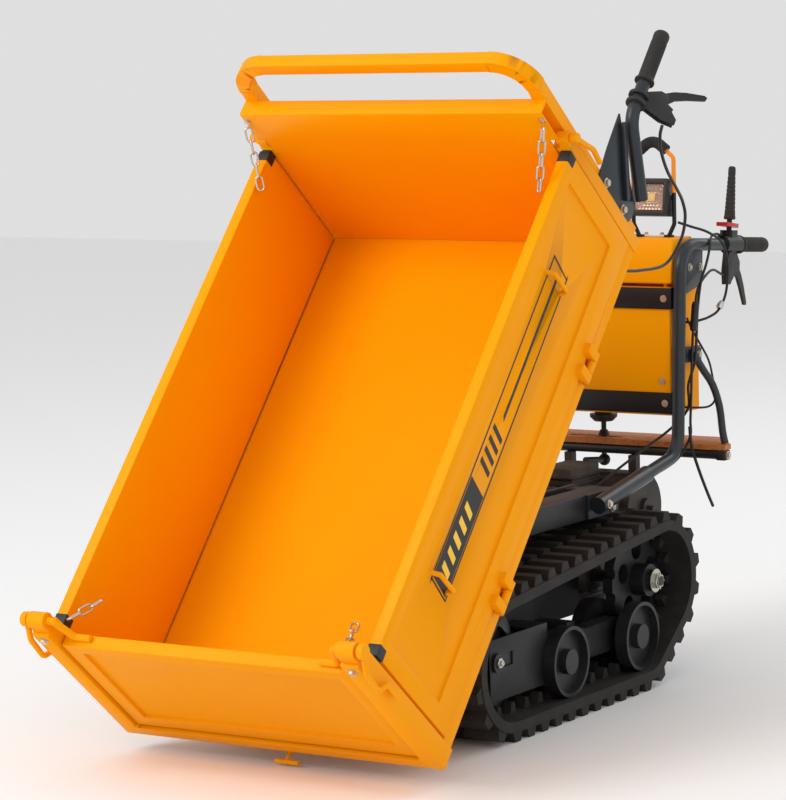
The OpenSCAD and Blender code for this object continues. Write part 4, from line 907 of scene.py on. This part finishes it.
dress(dish, "lamp_reflector", "work_lamp", "copper", angle=5)
bpy.ops.mesh.primitive_cube_add(size=1, location=(0, -9.5, 0), scale=(18, 4, 18))
bpy.ops.object.transform_apply(location=True, scale=True)
led = bevel(bpy.context.object, 1.2)
led.data.transform(LAMP)
dress(led, "lamp_led", "work_lamp", "led")
print("reflector", len(dish.data.polygons), "faces")

# %% [markdown]
# ## Label band
# A plain band of slanted bars decorates the left side board. It is a film laid on the paint, so every bar is
# a very thin plate standing just proud of the board, and it folds down with the board.

# %% Label band on the left side board
LABEL = SKIP_SIDE @ Matrix.Translation((0, 0, 376.15))
SLANT = 10
FILM_T = 0.35


def film(v0, v1, w0, w1, lift=0.0):
    """A slanted bar of film between two places along the board and two heights."""
    outline = [(v0, w0), (v1, w0), (v1 + SLANT, w1), (v0 + SLANT, w1)]
    return bevel(plate(outline, LABEL @ Matrix.Translation((0, 0, lift)), FILM_T, "film"), 0.0001, 1)


edges = [film(*sides) for sides in ((262, 1030, 192, 196), (262, 1030, 262, 266),
                                    (262, 266, 192, 266), (1026, 1030, 192, 266))]
bars = [film(540 + 26 * k, 552 + 26 * k, 206, 252) for k in range(4)] + [film(660, 1000, 224, 232)]
chevrons = [film(300 + 34 * k, 316 + 34 * k, 212, 246, lift=0.36) for k in range(5)]
dress(join(edges), "label_outline", "side_board_left", "plastic")
dress(film(270, 500, 198, 260), "label_patch", "side_board_left", "plastic")
dress(join(bars), "label_marks", "side_board_left", "plastic")
dress(join(chevrons), "label_chevrons", "side_board_left", "led")
print("label made")

# %% [markdown]
# ## Castle nuts and split pins
# A castle nut with a split pin holds each drive sprocket on its shaft. The nut is turned in six steps, which
# makes a hexagon, and the washer under it in forty, which makes it round.

# %% Castle nuts and split pins on the sprocket shafts
BELT_X = 215
SHAFT = (400, 228)
NUT = [(0, 11), (0, 17), (1, 18), (9, 18), (10, 16), (13, 15), (13, 11)]
WASHER = [(0, 11.2), (0, 26), (2.4, 26), (2.4, 11.2), (0, 11.2)]
for side, s in SIDES:
    nut = turned(NUT, at((BELT_X + 60) * s, *SHAFT), (s, 0, 0), steps=6)
    pin_x = (BELT_X + 70.5) * s
    split_pin = tube([at(pin_x, 400, 210), at(pin_x, 400, 246)], 0.0018, 3)
    washer = turned(WASHER, at((BELT_X + 58) * s, *SHAFT), (s, 0, 0))
    dress(join([nut, split_pin, washer]), "shaft_nut_" + side, "sprocket_" + side, "zinc", angle=30)
print("nuts made")

# %% [markdown]
# ## Axle bolts of the front idlers
# The idler's axle slides in the slot of its track beam when the belt is tightened. Its bolt head is a
# hexagon with the thread's end showing, and it moves with the tensioner.

# %% Axle bolts of the front idlers
BOLT_HEAD = [(0, 0.01), (0, 11.5), (5, 11.5), (6, 10.5), (6, 0.01)]
THREAD_END = [(5, 0.01), (5, 6), (10, 6), (11, 5), (11, 0.01)]
for side, s in SIDES:
    place = at((BELT_X + 47) * s, -262, 160)
    parts = [turned(BOLT_HEAD, place, (s, 0, 0), steps=6), turned(THREAD_END, place, (s, 0, 0))]
    dress(join(parts), "idler_axle_bolt_" + side, "tensioner_" + side, "zinc", angle=30)
print("axle bolts made")

# %% [markdown]
# ## Small black and red parts
# Black plastic caps close the ends of the side boards' top rails, and a red strip covers the controller's
# terminals. Both start as a box, get their edges bevelled, and carry their place in the mesh.

# %% Rail caps and controller terminals


def brick(low, high, place, round_by=0.0012):
    """A bevelled box between two corners in millimetres, in the directions of a place."""
    bpy.ops.mesh.primitive_cube_add(size=1)
    obj = bpy.context.object
    for v in obj.data.vertices:
        v.co = [low[k] if v.co[k] < 0 else high[k] for k in range(3)]
    obj.data.transform(place)
    return bevel(obj, round_by)


for side, s in SIDES:
    u0, u1 = sorted((356.4 * s, 383.6 * s))
    caps = [brick((u0, v0, 325), (u1, v1, 350.8), SKIP) for v0, v1 in ((51.4, 76), (1212, 1236.6))]
    dress(join(caps), "rail_caps_" + side, "side_board_" + side, "plastic")
MILLI = Matrix.Translation(at(0, 0, 0)) @ Matrix.Scale(0.001, 4)
STUD = [(0, 0.01), (0, 7), (4, 7), (5, 4), (11, 4), (12, 0.01)]
strip = brick((-70, 240, 440), (70, 262, 452), MILLI, 0.0015)
dress(strip, "controller_terminals", "chassis", "red")
studs = [turned(STUD, at(x, 251, 452), (0, 0, 1), steps=6) for x in range(-54, 60, 27)]
dress(join(studs), "terminal_studs", "chassis", "copper", angle=30)
print("caps and terminals made")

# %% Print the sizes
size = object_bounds()
print("visual box", [[round(c, 3) for c in p] for p in size])
